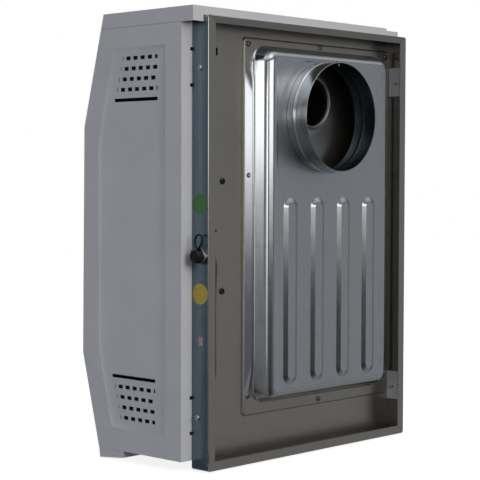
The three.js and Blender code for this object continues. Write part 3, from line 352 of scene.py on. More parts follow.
def mottled(t, factor, colour, below, above):
    """The colour taken down and up by two shares along a noise."""
    dark = tuple(c * below for c in colour)
    light = tuple(min(1.0, c * above) for c in colour)
    return t.ramp(factor, [(0.3, dark), (0.7, light)])


def uneven(t, factor, spread, roughness):
    return t.math("ADD", t.math("MULTIPLY", t.math("SUBTRACT", factor, 0.5), spread), roughness)


def paint(name, colour, roughness):
    """Powder coat: very fine orange peel and slightly uneven gloss."""
    material, t, shader = new_material(name)
    place = object_place(t)
    peel = noise_at(t, place, 900.0, 2.0, 0.5)
    cloud = noise_at(t, place, 14.0, 3.0, 0.5)
    t.link(mottled(t, cloud, colour, 0.965, 1.03), shader.inputs["Base Color"])
    t.link(uneven(t, cloud, 0.12, roughness), shader.inputs["Roughness"])
    bump(t, shader, peel, 0.00003, 0.35)
    return material


def plain(name, colour, roughness, metallic=0.0, scale=220.0, depth=0.00003, vary=0.12):
    """Moulded plastic, cast metal, fibre or ceramic: mottled colour and a fine grain."""
    material, t, shader = new_material(name)
    place = object_place(t)
    grain = noise_at(t, place, scale, 3.0, 0.6)
    t.link(mottled(t, grain, colour, 1 - vary, 1 + vary), shader.inputs["Base Color"])
    shader.inputs["Metallic"].default_value = metallic
    t.link(uneven(t, grain, 0.2, roughness), shader.inputs["Roughness"])
    bump(t, shader, grain, depth, 0.5)
    return material


zinc = metal("zinc_sheet_look", (0.56, 0.575, 0.59), 0.12, 0.03, 0.03, 0.00008)
face_zinc = metal("face_zinc_look", (0.56, 0.58, 0.61), 0.36, 0.02, 0.03, 0.00006, fine=0.0)
collar_zinc = metal("collar_zinc_look", (0.52, 0.53, 0.54), 0.2, 0.03, 0.04, 0.0001)
# Darker, bluer copy of the zinc for the tray's outer gas-side face: painted dark reflection.
painted_dark_side_zinc = metal("painted_dark_side_zinc_look", (0.16, 0.2, 0.235), 0.3, 0.05, 0.05, 0.00012)
screw_steel = metal("screw_steel_look", (0.2, 0.205, 0.21), 0.3, 0.03, 0.08, 0.00003)
dark_screw = metal("dark_screw_look", (0.06, 0.062, 0.06), 0.35, 0.03, 0.08, 0.00003)
bright_screw = metal("bright_screw_look", (0.42, 0.43, 0.44), 0.28, 0.03, 0.08, 0.00003)
nut_steel = metal("nut_steel_look", (0.34, 0.34, 0.345), 0.25, 0.03, 0.08, 0.00003)
tray_zinc = metal("tray_zinc_look", (0.42, 0.395, 0.36), 0.34, 0.03, 0.03, 0.00012, fine=0.0)
shaded_zinc = metal("shaded_zinc_look", (0.2, 0.195, 0.185), 0.3, 0.03, 0.03, 0.00012)
# Near-black, blue-grey copy of the zinc for the collar's inside: painted shade in the hollow of the collar.
painted_shade_bore_zinc = metal("painted_shade_bore_zinc_look", (0.1, 0.135, 0.16), 0.28, 0.03, 0.05, 0.0001, fine=0.0)
# Near black with a soot-brown tint for the exhaust's bore: painted shade deep in the pipe, with a tint of soot.
bore_soot_and_shade = plain("bore_soot_and_shade_look", (0.035, 0.018, 0.013), 0.6, 0.5, 300.0, 0.00005, 0.3)
green_label = plain("green_label_look", (0.03, 0.125, 0.032), 0.5, 0.0, 60.0, 0.00001, 0.1)
yellow_label = plain("yellow_label_look", (0.34, 0.26, 0.032), 0.5, 0.0, 60.0, 0.00001, 0.1)
pink_label = plain("pink_label_look", (0.3, 0.19, 0.18), 0.6, 0.0, 60.0, 0.00001, 0.1)
# Near black for the inner faces of the casing panels: painted shade inside the casing, seen through the vents.
painted_inner_shade = plain("painted_inner_shade_look", (0.018, 0.018, 0.02), 0.7, 0.0, 300.0, 0.00002, 0.15)
dull_copper = metal("dull_copper_look", (0.3, 0.2, 0.15), 0.35, 0.05, 0.1, 0.0001)
white = paint("casing_paint_look", (0.46, 0.46, 0.475), 0.42)
enamel = plain("dark_enamel_look", (0.03, 0.03, 0.033), 0.45)
steel = metal("bright_steel_look", (0.6, 0.61, 0.62), 0.25, 0.03, 0.03, 0.0001)
fibre = plain("gasket_fibre_look", (0.05, 0.048, 0.045), 0.9, 0.0, 500.0, 0.0002, 0.3)
brass = metal("brass_look", (0.55, 0.42, 0.2), 0.3, 0.04, 0.05, 0.0001)
copper = metal("copper_look", (0.6, 0.3, 0.17), 0.3, 0.05, 0.08, 0.0001)
cast = plain("cast_alloy_look", (0.45, 0.46, 0.47), 0.5, 0.9, 350.0, 0.0001, 0.1)
black = plain("black_plastic_look", (0.006, 0.006, 0.007), 0.36)
black.node_tree.nodes["Principled BSDF"].inputs["Specular IOR Level"].default_value = 0.25
exhaust_steel = metal("exhaust_steel_look", (0.5, 0.5, 0.49), 0.34, 0.03, 0.06, 0.0001, fine=0.0)
# Darker copy of the tray's zinc for its top and bottom lips: painted shade.
painted_dim_lip_zinc = metal("painted_dim_lip_zinc_look", (0.36, 0.35, 0.33), 0.26, 0.03, 0.03, 0.00012, fine=0.08)
grey = plain("grey_plastic_look", (0.12, 0.125, 0.13), 0.45)
ceramic = plain("ceramic_look", (0.78, 0.76, 0.7), 0.35, 0.0, 120.0, 0.00002, 0.03)
glass, glass_tree, glass_shader = new_material("glass_look")
glass_shader.inputs["Base Color"].default_value = (0.8, 0.86, 0.86, 1)
glass_shader.inputs["Roughness"].default_value = 0.05
glass_shader.inputs["Transmission Weight"].default_value = 0.9
glass_wear = noise_at(glass_tree, object_place(glass_tree), 160.0)
glass_tree.link(glass_tree.math("MULTIPLY", glass_wear, 0.1), glass_shader.inputs["Roughness"])
LOOKS = {
    "zinc_sheet": zinc, "white_paint": white, "dark_enamel": enamel, "bright_steel": steel,
    "gasket_fibre": fibre, "brass": brass, "copper": copper, "cast_alloy": cast,
    "black_plastic": black, "grey_plastic": grey, "ceramic": ceramic, "glass": glass,
}


# ------------------------------------------------------------------ mesh helpers
def settle(obj):
    """Applies an object's modifiers to its mesh."""
    scene.view_layers[0].update()
    graph = bpy.context.evaluated_depsgraph_get()
    made = bpy.data.meshes.new_from_object(obj.evaluated_get(graph))
    old = obj.data
    obj.modifiers.clear()
    obj.data = made
    bpy.data.meshes.remove(old)


def smooth(obj, angle):
    """Smooth shading that stays sharp past an angle in degrees, with normals that favour large faces."""
    mesh = obj.data
    mesh.shade_smooth()
    mesh.set_sharp_from_angle(angle=math.radians(angle))
    keep = obj.modifiers.new("normals", "WEIGHTED_NORMAL")
    keep.keep_sharp = True
    keep.weight = 80
    settle(obj)


def place_in_scene(name, mesh):
    obj = bpy.data.objects.new(name, mesh)
    scene.collection.objects.link(obj)
    return obj


def body_name(node):
    return nodes[node]["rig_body"]


SLOT_OF = {part["node"]: part["material_slot"] for part in frame["record"]["subparts"]}


def finish_piece(obj, node, material=None):
    """Puts a new piece on its node's body, in that node's place."""
    obj.data.materials.clear()
    obj.data.materials.append(material or LOOKS[SLOT_OF[node]])
    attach(obj, body_name(node))
    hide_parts(node)


def add_extra(obj, node, material):
    """Puts a piece that the CAD doesn't have on a node's body."""
    obj.data.materials.append(material)
    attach(obj, body_name(node))


def welded(node, merge_flat):
    """A node's mesh with its corners joined, and its flat areas merged if asked."""
    shape = bmesh.new()
    shape.from_mesh(nodes[node].data)
    bmesh.ops.remove_doubles(shape, verts=shape.verts, dist=0.00002)
    if merge_flat:
        bmesh.ops.dissolve_limit(
            shape, angle_limit=math.radians(0.4), verts=shape.verts, edges=shape.edges,
            use_dissolve_boundaries=False,
        )
    return shape


EDGE_ANGLE = math.radians(24)  # edges that bend by more get softened


def dress(node, edge=0.25, material=None, folds=(), shade=32, merge_flat=True):
    """A copy of a CAD node with edges softened by edge mm. folds lists (test, width in mm) for the wider bends."""
    shape = welded(node, merge_flat)
    for test, width in folds:
        bends = [e for e in shape.edges if len(e.link_faces) == 2 and e.calc_face_angle(0) > 0.1 and test(e)]
        if bends:
            bmesh.ops.bevel(
                shape, geom=bends, offset=width * MM, offset_type="OFFSET", segments=3, profile=0.5,
                affect="EDGES", clamp_overlap=False,
            )
    mesh = bpy.data.meshes.new(node + "_look")
    shape.to_mesh(mesh)
    shape.free()
    obj = place_in_scene(node + "_look", mesh)
    if edge > 0:
        soft = obj.modifiers.new("edges", "BEVEL")
        soft.width = edge * MM
        soft.segments = 2
        soft.limit_method = "ANGLE"
        soft.angle_limit = EDGE_ANGLE
        soft.harden_normals = False
        settle(obj)
    smooth(obj, shade)
    finish_piece(obj, node, material)
    return obj


def encloses(loop, point):
    """True where a loop of (u, v) goes round the point."""
    inside = False
    for (u0, v0), (u1, v1) in zip(loop, loop[1:] + loop[:1]):
        if (v0 > point.y) != (v1 > point.y) and point.x < u0 + (u1 - u0) * (point.y - v0) / (v1 - v0):
            inside = not inside
    return inside


class Sheet:
    """Faces of one thin sheet or turned shell, in millimetres."""

    def __init__(self):
        self.shape = bmesh.new()

    def rings(self, loops):
        """Quads between successive closed loops of equal length."""
        rows = [[self.shape.verts.new(point) for point in loop] for loop in loops]
        count = len(rows[0])
        for low, high in zip(rows, rows[1:]):
            for i in range(count):
                j = (i + 1) % count
                self.shape.faces.new((low[i], low[j], high[j], high[i]))

    def flat(self, loops, place):
        """A flat area between an outer loop and its holes; place turns (u, v) into a point."""
        points = []
        edges = []
        for loop in loops:
            start = len(points)
            points.extend(Vector(pair) for pair in loop)
            count = len(loop)
            edges.extend((start + i, start + (i + 1) % count) for i in range(count))
        found = delaunay_2d_cdt(points, edges, [], 0, 1e-5)
        corners = [self.shape.verts.new(place(v.x, v.y)) for v in found[0]]
        for face in found[2]:
            middle = sum((found[0][i] for i in face), Vector((0, 0))) / len(face)
            if sum(encloses(loop, middle) for loop in loops) == 1:
                self.shape.faces.new([corners[i] for i in face])

    def build(self, name, outward=None, gauge=0.0, merge=0.01):
        """The object, with its normals turned to the side of outward and its gauge added behind them."""
        bmesh.ops.remove_doubles(self.shape, verts=self.shape.verts, dist=merge)
        bmesh.ops.recalc_face_normals(self.shape, faces=self.shape.faces)
        if outward is not None:
            way = sum((f.normal.dot(Vector(outward)) * f.calc_area() for f in self.shape.faces), 0.0)
            if way < 0:
                bmesh.ops.reverse_faces(self.shape, faces=self.shape.faces)
        bmesh.ops.scale(self.shape, vec=(MM, MM, MM), verts=self.shape.verts)
        mesh = bpy.data.meshes.new(name)
        self.shape.to_mesh(mesh)
        self.shape.free()
        obj = place_in_scene(name, mesh)
        if gauge:
            # Even offset stays off: on thin slivers it throws a corner far off the sheet.
            thick = obj.modifiers.new("gauge", "SOLIDIFY")
            thick.thickness = gauge * MM
            thick.offset = -1
            thick.use_even_offset = False
            settle(obj)
        return obj


def corner_ring(left, right, bottom, top, radius, arc=10, rows=1, columns=1):
    """Points (u, v) round a rounded rectangle, always in the same number and order."""
    radius = max(radius, 0.01)
    points = []
    corners = (
        (right - radius, bottom + radius, -90), (right - radius, top - radius, 0),
        (left + radius, top - radius, 90), (left + radius, bottom + radius, 180),
    )
    for index, (u, v, start) in enumerate(corners):
        for step in range(arc + 1):
            angle = math.radians(start + 90 * step / arc)
            points.append((u + radius * math.cos(angle), v + radius * math.sin(angle)))
        steps = rows if index % 2 == 0 else columns
        u1, v1, turn = corners[(index + 1) % 4]
        angle = math.radians(turn)
        last = points[-1]
        first = (u1 + radius * math.cos(angle), v1 + radius * math.sin(angle))
        for step in range(1, steps):
            share = step / steps
            points.append((last[0] + (first[0] - last[0]) * share, last[1] + (first[1] - last[1]) * share))
    return points


def circle(u, v, radius, count):
    return [
        (u + radius * math.cos(2 * math.pi * i / count), v + radius * math.sin(2 * math.pi * i / count))
        for i in range(count)
    ]


def lathe_y(name, profile, x, z, count):
    """A closed profile of (radius, y) turned about the axis along Y through (x, z), in millimetres."""
    sheet = Sheet()
    loops = []
    for radius, y in [*profile, profile[0]]:
        loops.append([
            (x + radius * math.cos(2 * math.pi * i / count), y, z + radius * math.sin(2 * math.pi * i / count))
            for i in range(count)
        ])
    sheet.rings(loops)
    return sheet.build(name)


def size_of(node):
    """Low and high corner of a node, in millimetres."""
    low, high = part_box(node)
    return low / MM, high / MM


# ------------------------------------------------------------------ air box
# Millimetres, as everything down to the end of the file unless it says MM.
RIM_Y = -27.4    # the flange
FACE_Y = -3.5    # the raised face
FACE_CROWN = 0.35  # the wall's top edge stands this much past the face
PAN = (-198.6, 109.0, 72.0, 598.0)  # left, right, bottom and top of the wall's foot
PAN_CORNER = 26
PAN_SLOPE = 60.5  # degrees
SIDE_LIFT = 2.6  # the flange rises by this towards the wall's foot along the sides
ALONG_SHARE = 0.67  # at the top and bottom the wall leans in by this share of its lean at the sides
GAUGE = 1.2
FLUE_X = -23.5
COLLAR_Z = 494.7
COLLAR_R = 81.0
RIBS = [48.3 - 61.1 * index for index in range(4)]
RIB_LOW, RIB_HIGH = 98.0, 376.5
RIB_HALF = 16.5
RIB_CORNER = RIB_HALF - 0.5
RIB_RISE = 3.2
RIB_FLANK = 9.6


def pan_profile():
    """(inset at the sides, inset at the ends, share of the rise) from the wall's foot to the face."""
    height = FACE_Y - RIM_Y - SIDE_LIFT + FACE_CROWN
    foot = [(0.7, -14), (0.9, 10), (1.5, 30), (2.4, 54), (0.7, PAN_SLOPE)]
    shoulder = [(1.0, 54), (5.0, 48), (2.2, 30), (6.8, 10), (6.6, 0)]

    def run(bends, slope, steps):
        """Points along successive bends of (length, slope at the end)."""
        points = [(0.0, 0.0)]
        for length, last in bends:
            for step in range(steps):
                angle = math.radians(slope + (last - slope) * (step + 0.5) / steps)
                across, rise = points[-1]
                step_long = length / steps
                points.append((across + step_long * math.cos(angle), rise + step_long * math.sin(angle)))
            slope = last
        return points

    low = run(foot, 10, 3)
    high = run(shoulder, PAN_SLOPE, 5)
    straight = (height - low[-1][1] - high[-1][1]) / math.sin(math.radians(PAN_SLOPE))
    start = (
        low[-1][0] + straight * math.cos(math.radians(PAN_SLOPE)),
        low[-1][1] + straight * math.sin(math.radians(PAN_SLOPE)),
    )
    points = low + [(start[0] + across, start[1] + rise) for across, rise in high]
    total = points[-1][0]
    for step in range(1, 7):
        share = step / 6
        drop = FACE_CROWN * (3 * share ** 2 - 2 * share ** 3)
        points.append((total + 4.0 * share, height - drop))
    return [(inset, ALONG_SHARE * inset, rise / height) for inset, rise in points]


def flank(share, soft=0.2):
    """Rise from 0 to 1 at one steady slope, rounded over the share soft at both ends."""
    slope = 1 / (1 - soft)
    if share < soft:
        return slope * share ** 2 / (2 * soft)
    if share > 1 - soft:
        return 1 - slope * (1 - share) ** 2 / (2 * soft)
    return slope * (share - soft / 2)


def build_air_box():
    """The pressed pan: flange, bent wall, face with its four ribs, and the hole for the flue."""
    low, high = size_of("air_box")
    left, right, bottom, top = PAN
    sheet = Sheet()
    loops = []
    counts = {"arc": 10, "rows": 40, "columns": 20}

    # How far each point of the outline lies on a side, away from the corners: there the flange rises.
    outline = corner_ring(left, right, bottom, top, PAN_CORNER, **counts)
    sideways = []
    for before, after in zip(outline[-1:] + outline[:-1], outline[1:] + outline[:1]):
        du, dv = after[0] - before[0], after[1] - before[1]
        height = (before[1] + after[1]) / 2
        near = min(1.0, max(0.0, min(height - bottom, top - height) - 18) / 50)
        sideways.append(near * near * (3 - 2 * near) * dv ** 2 / (du ** 2 + dv ** 2))

    def loop(x0, x1, z0, z1, radius, y, rise=None):
        ring = corner_ring(x0, x1, z0, z1, radius, **counts)
        if rise is None:
            return [(u, y, v) for u, v in ring]
        made = []
        for (u, v), share in zip(ring, sideways):
            start = RIM_Y + SIDE_LIFT * share
            made.append((u, start + rise * (FACE_Y + FACE_CROWN - start), v))
        return made

    flange = (low.x, high.x, low.z, high.z)
    for inset, drop in ((-0.9, 2.9), (0.0, 1.3), (0.35, 0.75), (1.0, 0.4), (2.3, 0.12)):
        loops.append(loop(
            flange[0] + inset, flange[1] - inset, flange[2] + inset, flange[3] - inset, 6, RIM_Y - drop,
        ))
    for across, along, rise in pan_profile():
        loops.append(loop(
            left + across, right - across, bottom + along, top - along, max(PAN_CORNER - along, 8), None, rise,
        ))
    sheet.rings(loops)
    face_loop = [(x, z) for x, y, z in loops[-1]]
    face_y = loops[-1][0][1]
    holes = [circle(FLUE_X, COLLAR_Z, COLLAR_R + 0.4, 128)]
    steps = 12
    for x in RIBS:
        holes.append(corner_ring(x - RIB_HALF, x + RIB_HALF, RIB_LOW, RIB_HIGH, RIB_CORNER, 14, 30, 1))
        rows = []
        for step in range(steps + 1):
            share = step / steps
            inset = RIB_FLANK * share
            rise = RIB_RISE * flank(share)
            rows.append([
                (u, face_y + rise, v) for u, v in corner_ring(
                    x - RIB_HALF + inset, x + RIB_HALF - inset, RIB_LOW + inset, RIB_HIGH - inset,
                    RIB_CORNER - inset, 14, 30, 1)
            ])
        sheet.rings(rows)
        sheet.flat([[(u, v) for u, y, v in rows[-1]]], lambda u, v: (u, face_y + RIB_RISE, v))
    sheet.flat([face_loop, *holes], lambda u, v: (u, face_y, v))
    obj = sheet.build("air_box_look", (0, 1, 0), GAUGE)
    smooth(obj, 40)
    finish_piece(obj, "air_box")
    obj.data.materials.append(face_zinc)
    obj.data.materials.append(tray_zinc)
    shiny_wall, dull_face, flange_metal = 0, 1, 2
    for face in obj.data.polygons:
        on_face = face.center.y > (FACE_Y - 0.4) * MM and abs(face.normal.y) > FLAT
        on_flange = face.center.y < (RIM_Y + 0.3) * MM
        on_top_wall = face.normal.z > 0.35 and face.center.y < (FACE_Y + 0.3) * MM
        if on_face or (on_top_wall and not on_flange):
            face.material_index = dull_face
        else:
            face.material_index = flange_metal if on_flange else shiny_wall


# ------------------------------------------------------------------ flue
EXHAUST_R = 37.6
EXHAUST_Z = 519.2


def mark_bore(obj, z, reach):
    """Gives a pipe's second material to the faces that look at its axis, nearer to it than reach."""
    for face in obj.data.polygons:
        away = Vector((face.center.x - FLUE_X * MM, 0, face.center.z - z * MM))
        if face.normal.dot(away) < 0 and away.length < reach * MM:
            face.material_index = 1


def build_collar():
    """The outer collar, with its root flange, a rolled bead and a round rim."""
    wall, end, bead, rise = 1.2, 34.0, 10.0, 2.4
    low = size_of("flue_collar")[0]
    outer = [(COLLAR_R + 8, low.y), (COLLAR_R + 8, low.y + wall), (COLLAR_R + 1.5, low.y + wall)]
    outer += [(COLLAR_R + 0.4, low.y + wall + 0.4), (COLLAR_R, low.y + wall + 1.6)]
    steps = 12
    bump_out = [
        (COLLAR_R + rise * math.sin(math.pi * i / steps) ** 1.2, bead - 3.4 + 6.8 * i / steps)
        for i in range(steps + 1)
    ]
    half = wall / 2
    rim = [
        (COLLAR_R - half + half * math.cos(math.pi * i / 6), end - half + half * math.sin(math.pi * i / 6))
        for i in range(7)
    ]
    inside = COLLAR_R - wall
    bump_in = [(inside + 0.3 * (r - COLLAR_R), y) for r, y in reversed(bump_out)]
    profile = outer + bump_out + rim + bump_in + [(inside, low.y + 0.6), (inside + 0.5, low.y)]
    obj = lathe_y("flue_collar_look", profile, FLUE_X, COLLAR_Z, 160)
    smooth(obj, 40)
    finish_piece(obj, "flue_collar", collar_zinc)
    # The collar's inside takes the dark copy of its zinc: painted shade.
    obj.data.materials.append(painted_shade_bore_zinc)
    mark_bore(obj, COLLAR_Z, COLLAR_R + 1.5)


def build_exhaust():
    """The exhaust spigot, flared at its root and rolled at its lip, near black in its bore: painted shade deep in
    the pipe, with a soot-brown tint.
    """
    wall, roll = 1.2, 1.5
    low, high = size_of("exhaust_outlet")
    foot = [(EXHAUST_R + 12, low.y), (EXHAUST_R + 12, low.y + wall)]
    flare = []
    for i in range(9):
        turn = math.pi / 2 * i / 8
        flare.append((EXHAUST_R + 7 * (1 - math.sin(turn)), low.y + wall + 4.5 * (1 - math.cos(turn))))
    lip = []
    for i in range(12):
        turn = math.radians(200 - 20 * i)
        lip.append((EXHAUST_R + 0.5 - roll * math.cos(turn), high.y - roll + roll * math.sin(turn)))
    lip.reverse()
    profile = foot + flare + lip + [(EXHAUST_R - wall, high.y - 2.2 * roll), (EXHAUST_R - wall, low.y)]
    obj = lathe_y("exhaust_outlet_look", profile, FLUE_X, EXHAUST_Z, 96)
    smooth(obj, 40)
    finish_piece(obj, "exhaust_outlet", exhaust_steel)
    # The bore takes the near-black copy: painted shade deep in the pipe.
    obj.data.materials.append(bore_soot_and_shade)
    mark_bore(obj, EXHAUST_Z, EXHAUST_R - 0.9)


# ------------------------------------------------------------------ screws
def build_screw(node, way, material, turn):
    """A pan-head screw with a cross recess in the place of a CAD screw; way is the head's direction."""
    low, high = size_of(node)
    way = Vector(way)
    middle = (low + high) / 2
    first = Vector((0, 0, 1)) if abs(way.z) < 0.5 else Vector((1, 0, 0))
    second = way.cross(first)
    reach = max(abs(way.dot(low - middle)), abs(way.dot(high - middle)))
    radius = min(high[i] - low[i] for i in range(3) if abs(way[i]) < 0.5) / 2
    if node.startswith("plate_screw"):
        radius *= 1.2
    height, shank = 2.4, 1.9
    radii = (0.001, 0.3, 0.5, 0.7, 0.95, 1.25, 1.6, 1.9, 2.15, 2.4, 2.8, 3.2, 3.5, 3.75, 3.92, 4.0)
    slot_half, slot_reach, slot_depth = 0.5, 2.0, 1.2
    turns = [2 * math.pi * i / 48 for i in range(48)]
    sheet = Sheet()

    def at(distance, angle, along):
        across = first * math.cos(angle) + second * math.sin(angle)
        return middle + across * distance + way * along

    def recess(distance, angle):
        u = abs(distance * math.cos(angle - turn))
        v = abs(distance * math.sin(angle - turn))
        arms = []
        for side_way, long_way in ((u, v), (v, u)):
            inside = min(slot_half - side_way, slot_reach - long_way)
            arms.append(max(0.0, min(1.0, 0.5 + inside / 0.3)))
        return slot_depth * max(arms)

    rows = []
    for distance in radii:
        share = distance / radii[-1]
        dome = height * (1 - 0.3 * share ** 2)
        if share > 0.8:
            dome *= math.sqrt(max(0.0, 1 - ((share - 0.8) / 0.2) ** 2)) * 0.85 + 0.15
        rows.append([
            at(distance * radius / radii[-1], angle, reach - height + dome - recess(distance, angle))
            for angle in turns
        ])
    below = (
        (radius, reach - height), (shank, reach - height), (shank, 0.8 - reach), (0.8, -reach), (0.001, -reach),
    )
    for distance, along in below:
        rows.append([at(distance, angle, along) for angle in turns])
    sheet.rings(rows)
    obj = sheet.build(node + "_look", merge=0.004)
    smooth(obj, 35)
    finish_piece(obj, node, material)


# ------------------------------------------------------------------ gas inlet
INLET_Y = -12.8
INLET_Z = 295.0
CAP_FOOT = 231.7  # x of the cap's open end
CAP_SHOULDER = 236.6  # x where its side starts to round over


def lathe_x(profile, y, z, count):
    """A sheet with a closed profile of (radius, x) turned about the axis along X through (y, z)."""
    sheet = Sheet()
    sheet.rings([
        [
            (x, y + radius * math.cos(2 * math.pi * i / count), z + radius * math.sin(2 * math.pi * i / count))
            for i in range(count)
        ]
        for radius, x in [*profile, profile[0]]
    ])
    return sheet


def tube_faces(sheet, path, radius, count=12):
    """A round tube along a closed path of points."""
    rows = []
    total = len(path)
    for index, point in enumerate(path):
        ahead = (path[(index + 1) % total] - path[index - 1]).normalized()
        first = Vector((1, 0, 0))
        first = (first - ahead * first.dot(ahead)).normalized()
        second = ahead.cross(first)
        rows.append([
            point + (first * math.cos(2 * math.pi * i / count) + second * math.sin(2 * math.pi * i / count)) * radius
            for i in range(count)
        ])
    sheet.rings([*rows, rows[0]])


def build_cap():
    """The protective cap of the gas inlet, a hollow cup, with its drop-shaped pull loop."""
    low, high = size_of("inlet_cap")
    radius = INLET_Y - low.y
    end = high.x
    bore = 8.9
    profile = [(bore, CAP_FOOT), (radius - 0.3, CAP_FOOT), (radius, CAP_FOOT + 0.3), (radius, CAP_SHOULDER)]
    for i in range(1, 9):
        turn = math.pi / 2 * i / 8
        profile.append((
            radius - 3.0 * (1 - math.cos(turn)), CAP_SHOULDER + (end - CAP_SHOULDER - 0.2) * math.sin(turn),
        ))
    profile += [(radius - 3.6, end - 0.3), (radius - 4.0, end - 0.7), (radius - 5.0, end - 0.75), (0.01, end - 0.75)]
    profile += [(0.01, 238.7), (bore - 0.4, 238.7), (bore, 238.3)]
    sheet = lathe_x(profile, INLET_Y, INLET_Z, 64)

    loop_half, loop_height, loop_lean, loop_wire = 8.6, 21.5, 3.4, 1.45
    loop_x = 232.9
    loop_foot = INLET_Z + radius - 1.2
    path = []
    count = 56
    for index in range(count):
        angle = 2 * math.pi * index / count
        tall = (1 - math.cos(angle)) / 2
        across = loop_half * math.sin(angle) * math.sin(math.pi * min(1.0, tall ** 0.62) / 2) ** 0.9
        path.append(Vector((
            loop_x + 0.8 * math.sin(angle), INLET_Y + loop_lean * tall + across, loop_foot + loop_height * tall,
        )))
    tube_faces(sheet, path, loop_wire)
    obj = sheet.build("inlet_cap_look", merge=0.004)
    smooth(obj, 40)
    finish_piece(obj, "inlet_cap")


# ------------------------------------------------------------------ labels
LABEL_R = 14.6
LABEL_FOOT = 0.02  # a label's back stands this far off the tray
TAG = (-18.4, -10.4, 169.5, 181.5)  # y and z, low and high


def build_label(name, y, z, material):
    """A bare round label on the tray's gas side, with its rim just lifted."""
    side_x = size_of("back_tray")[1].x
    sheet = Sheet()
    rings = (
        (0.01, 0.14), (LABEL_R * 0.5, 0.14), (LABEL_R - 1.2, 0.15), (LABEL_R - 0.2, 0.22), (LABEL_R, 0.2),
        (LABEL_R, LABEL_FOOT), (0.01, LABEL_FOOT),
    )
    sheet.rings([
        [(side_x + lift, y + u, z + v) for u, v in circle(0, 0, distance, 72)] for distance, lift in rings
    ])
    obj = sheet.build(name, (1, 0, 0), merge=0.005)
    smooth(obj, 50)
    add_extra(obj, "back_tray", material)


def build_tag():
    """A small bare paper tag on the tray's gas side."""
    side_x = size_of("back_tray")[1].x
    left, right, bottom, top = TAG
    sheet = Sheet()
    rows = []
    for inset, lift in ((0.0, LABEL_FOOT), (0.0, 0.1), (0.3, 0.16), (1.5, 0.14), (3.4, 0.14)):
        rows.append([
            (side_x + lift, u, v) for u, v in corner_ring(
                left + inset, right - inset, bottom + inset, top - inset, max(0.8 - inset, 0.1), 5)
        ])
    sheet.rings(rows)
    sheet.flat([[(y, z) for x, y, z in rows[-1]]], lambda u, v: (side_x + 0.14, u, v))
    sheet.flat([[(y, z) for x, y, z in rows[0]]], lambda u, v: (side_x + LABEL_FOOT, u, v))
    obj = sheet.build("paper_tag", merge=0.005)
    smooth(obj, 50)
    add_extra(obj, "back_tray", pink_label)


def build_dial_marks():
    """Seven plain marks on the bezel round the knob, from closed to full."""
    front_y = size_of("control_bezel")[0].y
    knob_low, knob_high = size_of("control_knob")
    x = (knob_low.x + knob_high.x) / 2
    z = (knob_low.z + knob_high.z) / 2
    sheet = Sheet()
    count, turn, away = 7, 240, 26.0
    for index in range(count):
        angle = math.radians(90 + turn * index / (count - 1))
        half = 1.6 + 0.5 * (index in (0, count - 1))
        along = Vector((math.cos(angle), 0, math.sin(angle)))
        across = Vector((-along.z, 0, along.x))
        middle = Vector((x, 0, z)) + along * away
        rows = []
        for inset, lift in ((0.0, -0.05), (0.0, 0.08), (0.15, 0.15), (0.4, 0.16)):
            rows.append([
                middle + along * u + across * v + Vector((0, front_y - lift, 0))
                for u, v in corner_ring(-half + inset, half - inset, -0.5 + inset, 0.5 - inset, 0.5 - inset, 4)
            ])
        sheet.rings(rows)
        for ring in (rows[0], rows[-1]):
            sheet.shape.faces.new([sheet.shape.verts.new(point) for point in ring])
    obj = sheet.build("dial_marks", merge=0.002)
    smooth(obj, 40)
    add_extra(obj, "control_bezel", white)


build_dial_marks()
build_tag()
build_label("green_label", -15.4, 367.4, green_label)
build_label("yellow_label", -15.6, 241.9, yellow_label)


# ------------------------------------------------------------------ tray and casing
INNER_SHADE_BEHIND = -33  # inside the casing, faces on the room side of this y get painted shade, near black


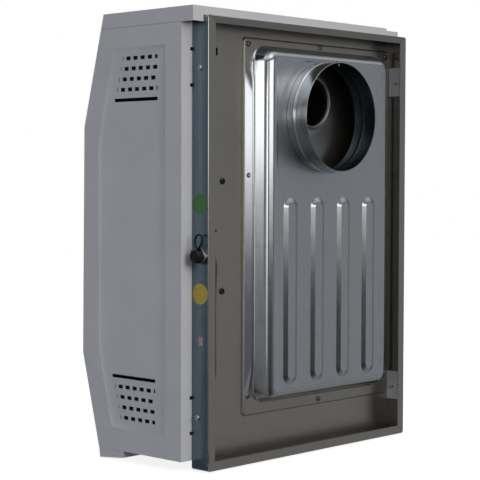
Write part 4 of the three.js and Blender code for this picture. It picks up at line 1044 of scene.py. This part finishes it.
def build_tray():
    """The wall tray: soft outer folds, and painted light and shade: lighter or darker copies of its metal on the
    sides that the light meets differently.
    """
    low, high = size_of("back_tray")

    def outer_fold(edge):
        """True for the long folds between the tray's sides and its lips."""
        ends = [end.co / MM for end in edge.verts]
        sides = all(min(abs(end.x - low.x), abs(end.x - high.x)) < 0.05 for end in ends)
        ends_on = all(min(abs(end.z - low.z), abs(end.z - high.z)) < 0.05 for end in ends)
        return edge.calc_length() > 60 * MM and all(end.y > -0.1 for end in ends) and (sides or ends_on)

    obj = dress("back_tray", material=tray_zinc, folds=((outer_fold, 1.1),))
    for extra in (painted_dark_side_zinc, zinc, shaded_zinc, painted_dim_lip_zinc):
        obj.data.materials.append(extra)
    for face in obj.data.polygons:
        # The outer gas-side face: darker, bluer zinc, a painted dark reflection.
        if face.center.x > (high.x - 0.2) * MM and face.normal.x > 0.98:
            face.material_index = 1
        # The bevels of the front folds take the lighter, glossier zinc: their bright line is a real reflection, made
        # brighter by a painted highlight in the lighter colour.
        elif face.center.y > -2 * MM and 0.1 < face.normal.y < 0.98:
            face.material_index = 2
        elif face.center.x < (low.x + 1.6) * MM and face.normal.x > 0.9:
            face.material_index = 3
        # The top and bottom lips: the darker copy of the tray's zinc, painted shade.
        elif face.center.y > -0.3 * MM and min(face.center.z - low.z * MM, high.z * MM - face.center.z) < 14 * MM:
            face.material_index = 4


INWARD = {"side_panel_gas_side": (-1, 0, 0), "side_panel_far_side": (1, 0, 0), "front_panel": (0, 1, 0)}


def build_panel(node):
    """A painted casing panel, with painted shade, near black, on its inside faces."""
    obj = dress(node, shade=9, merge_flat=False, edge=0)
    inward = INWARD[node]
    obj.data.materials.append(painted_inner_shade)
    for face in obj.data.polygons:
        if face.normal.dot(Vector(inward)) > 0.5 and face.center.y < INNER_SHADE_BEHIND * MM:
            face.material_index = 1


# ------------------------------------------------------------------ every node in turn
SPECIAL = {
    "air_box": build_air_box,
    "flue_collar": build_collar,
    "exhaust_outlet": build_exhaust,
    "inlet_cap": build_cap,
    "back_tray": build_tray,
}
OWN_LOOK = {"gas_pipe": dull_copper, "inlet_nut": nut_steel}
SCREWS = (  # start of the name, where the head points, material
    ("air_box_screw", (0, 1, 0), screw_steel), ("plate_screw", (0, 1, 0), dark_screw),
    ("casing_screw_gas_side", (1, 0, 0), bright_screw), ("casing_screw_far_side", (-1, 0, 0), bright_screw),
    ("collar_screw", (0, 0, 1), screw_steel),
)
for order, name in enumerate(nodes):
    screw = next((kind for kind in SCREWS if name.startswith(kind[0])), None)
    if screw:
        build_screw(name, screw[1], screw[2], 0.6 * order)
    elif name in SPECIAL:
        SPECIAL[name]()
    elif name in INWARD:
        build_panel(name)
    else:
        dress(name, material=OWN_LOOK.get(name))
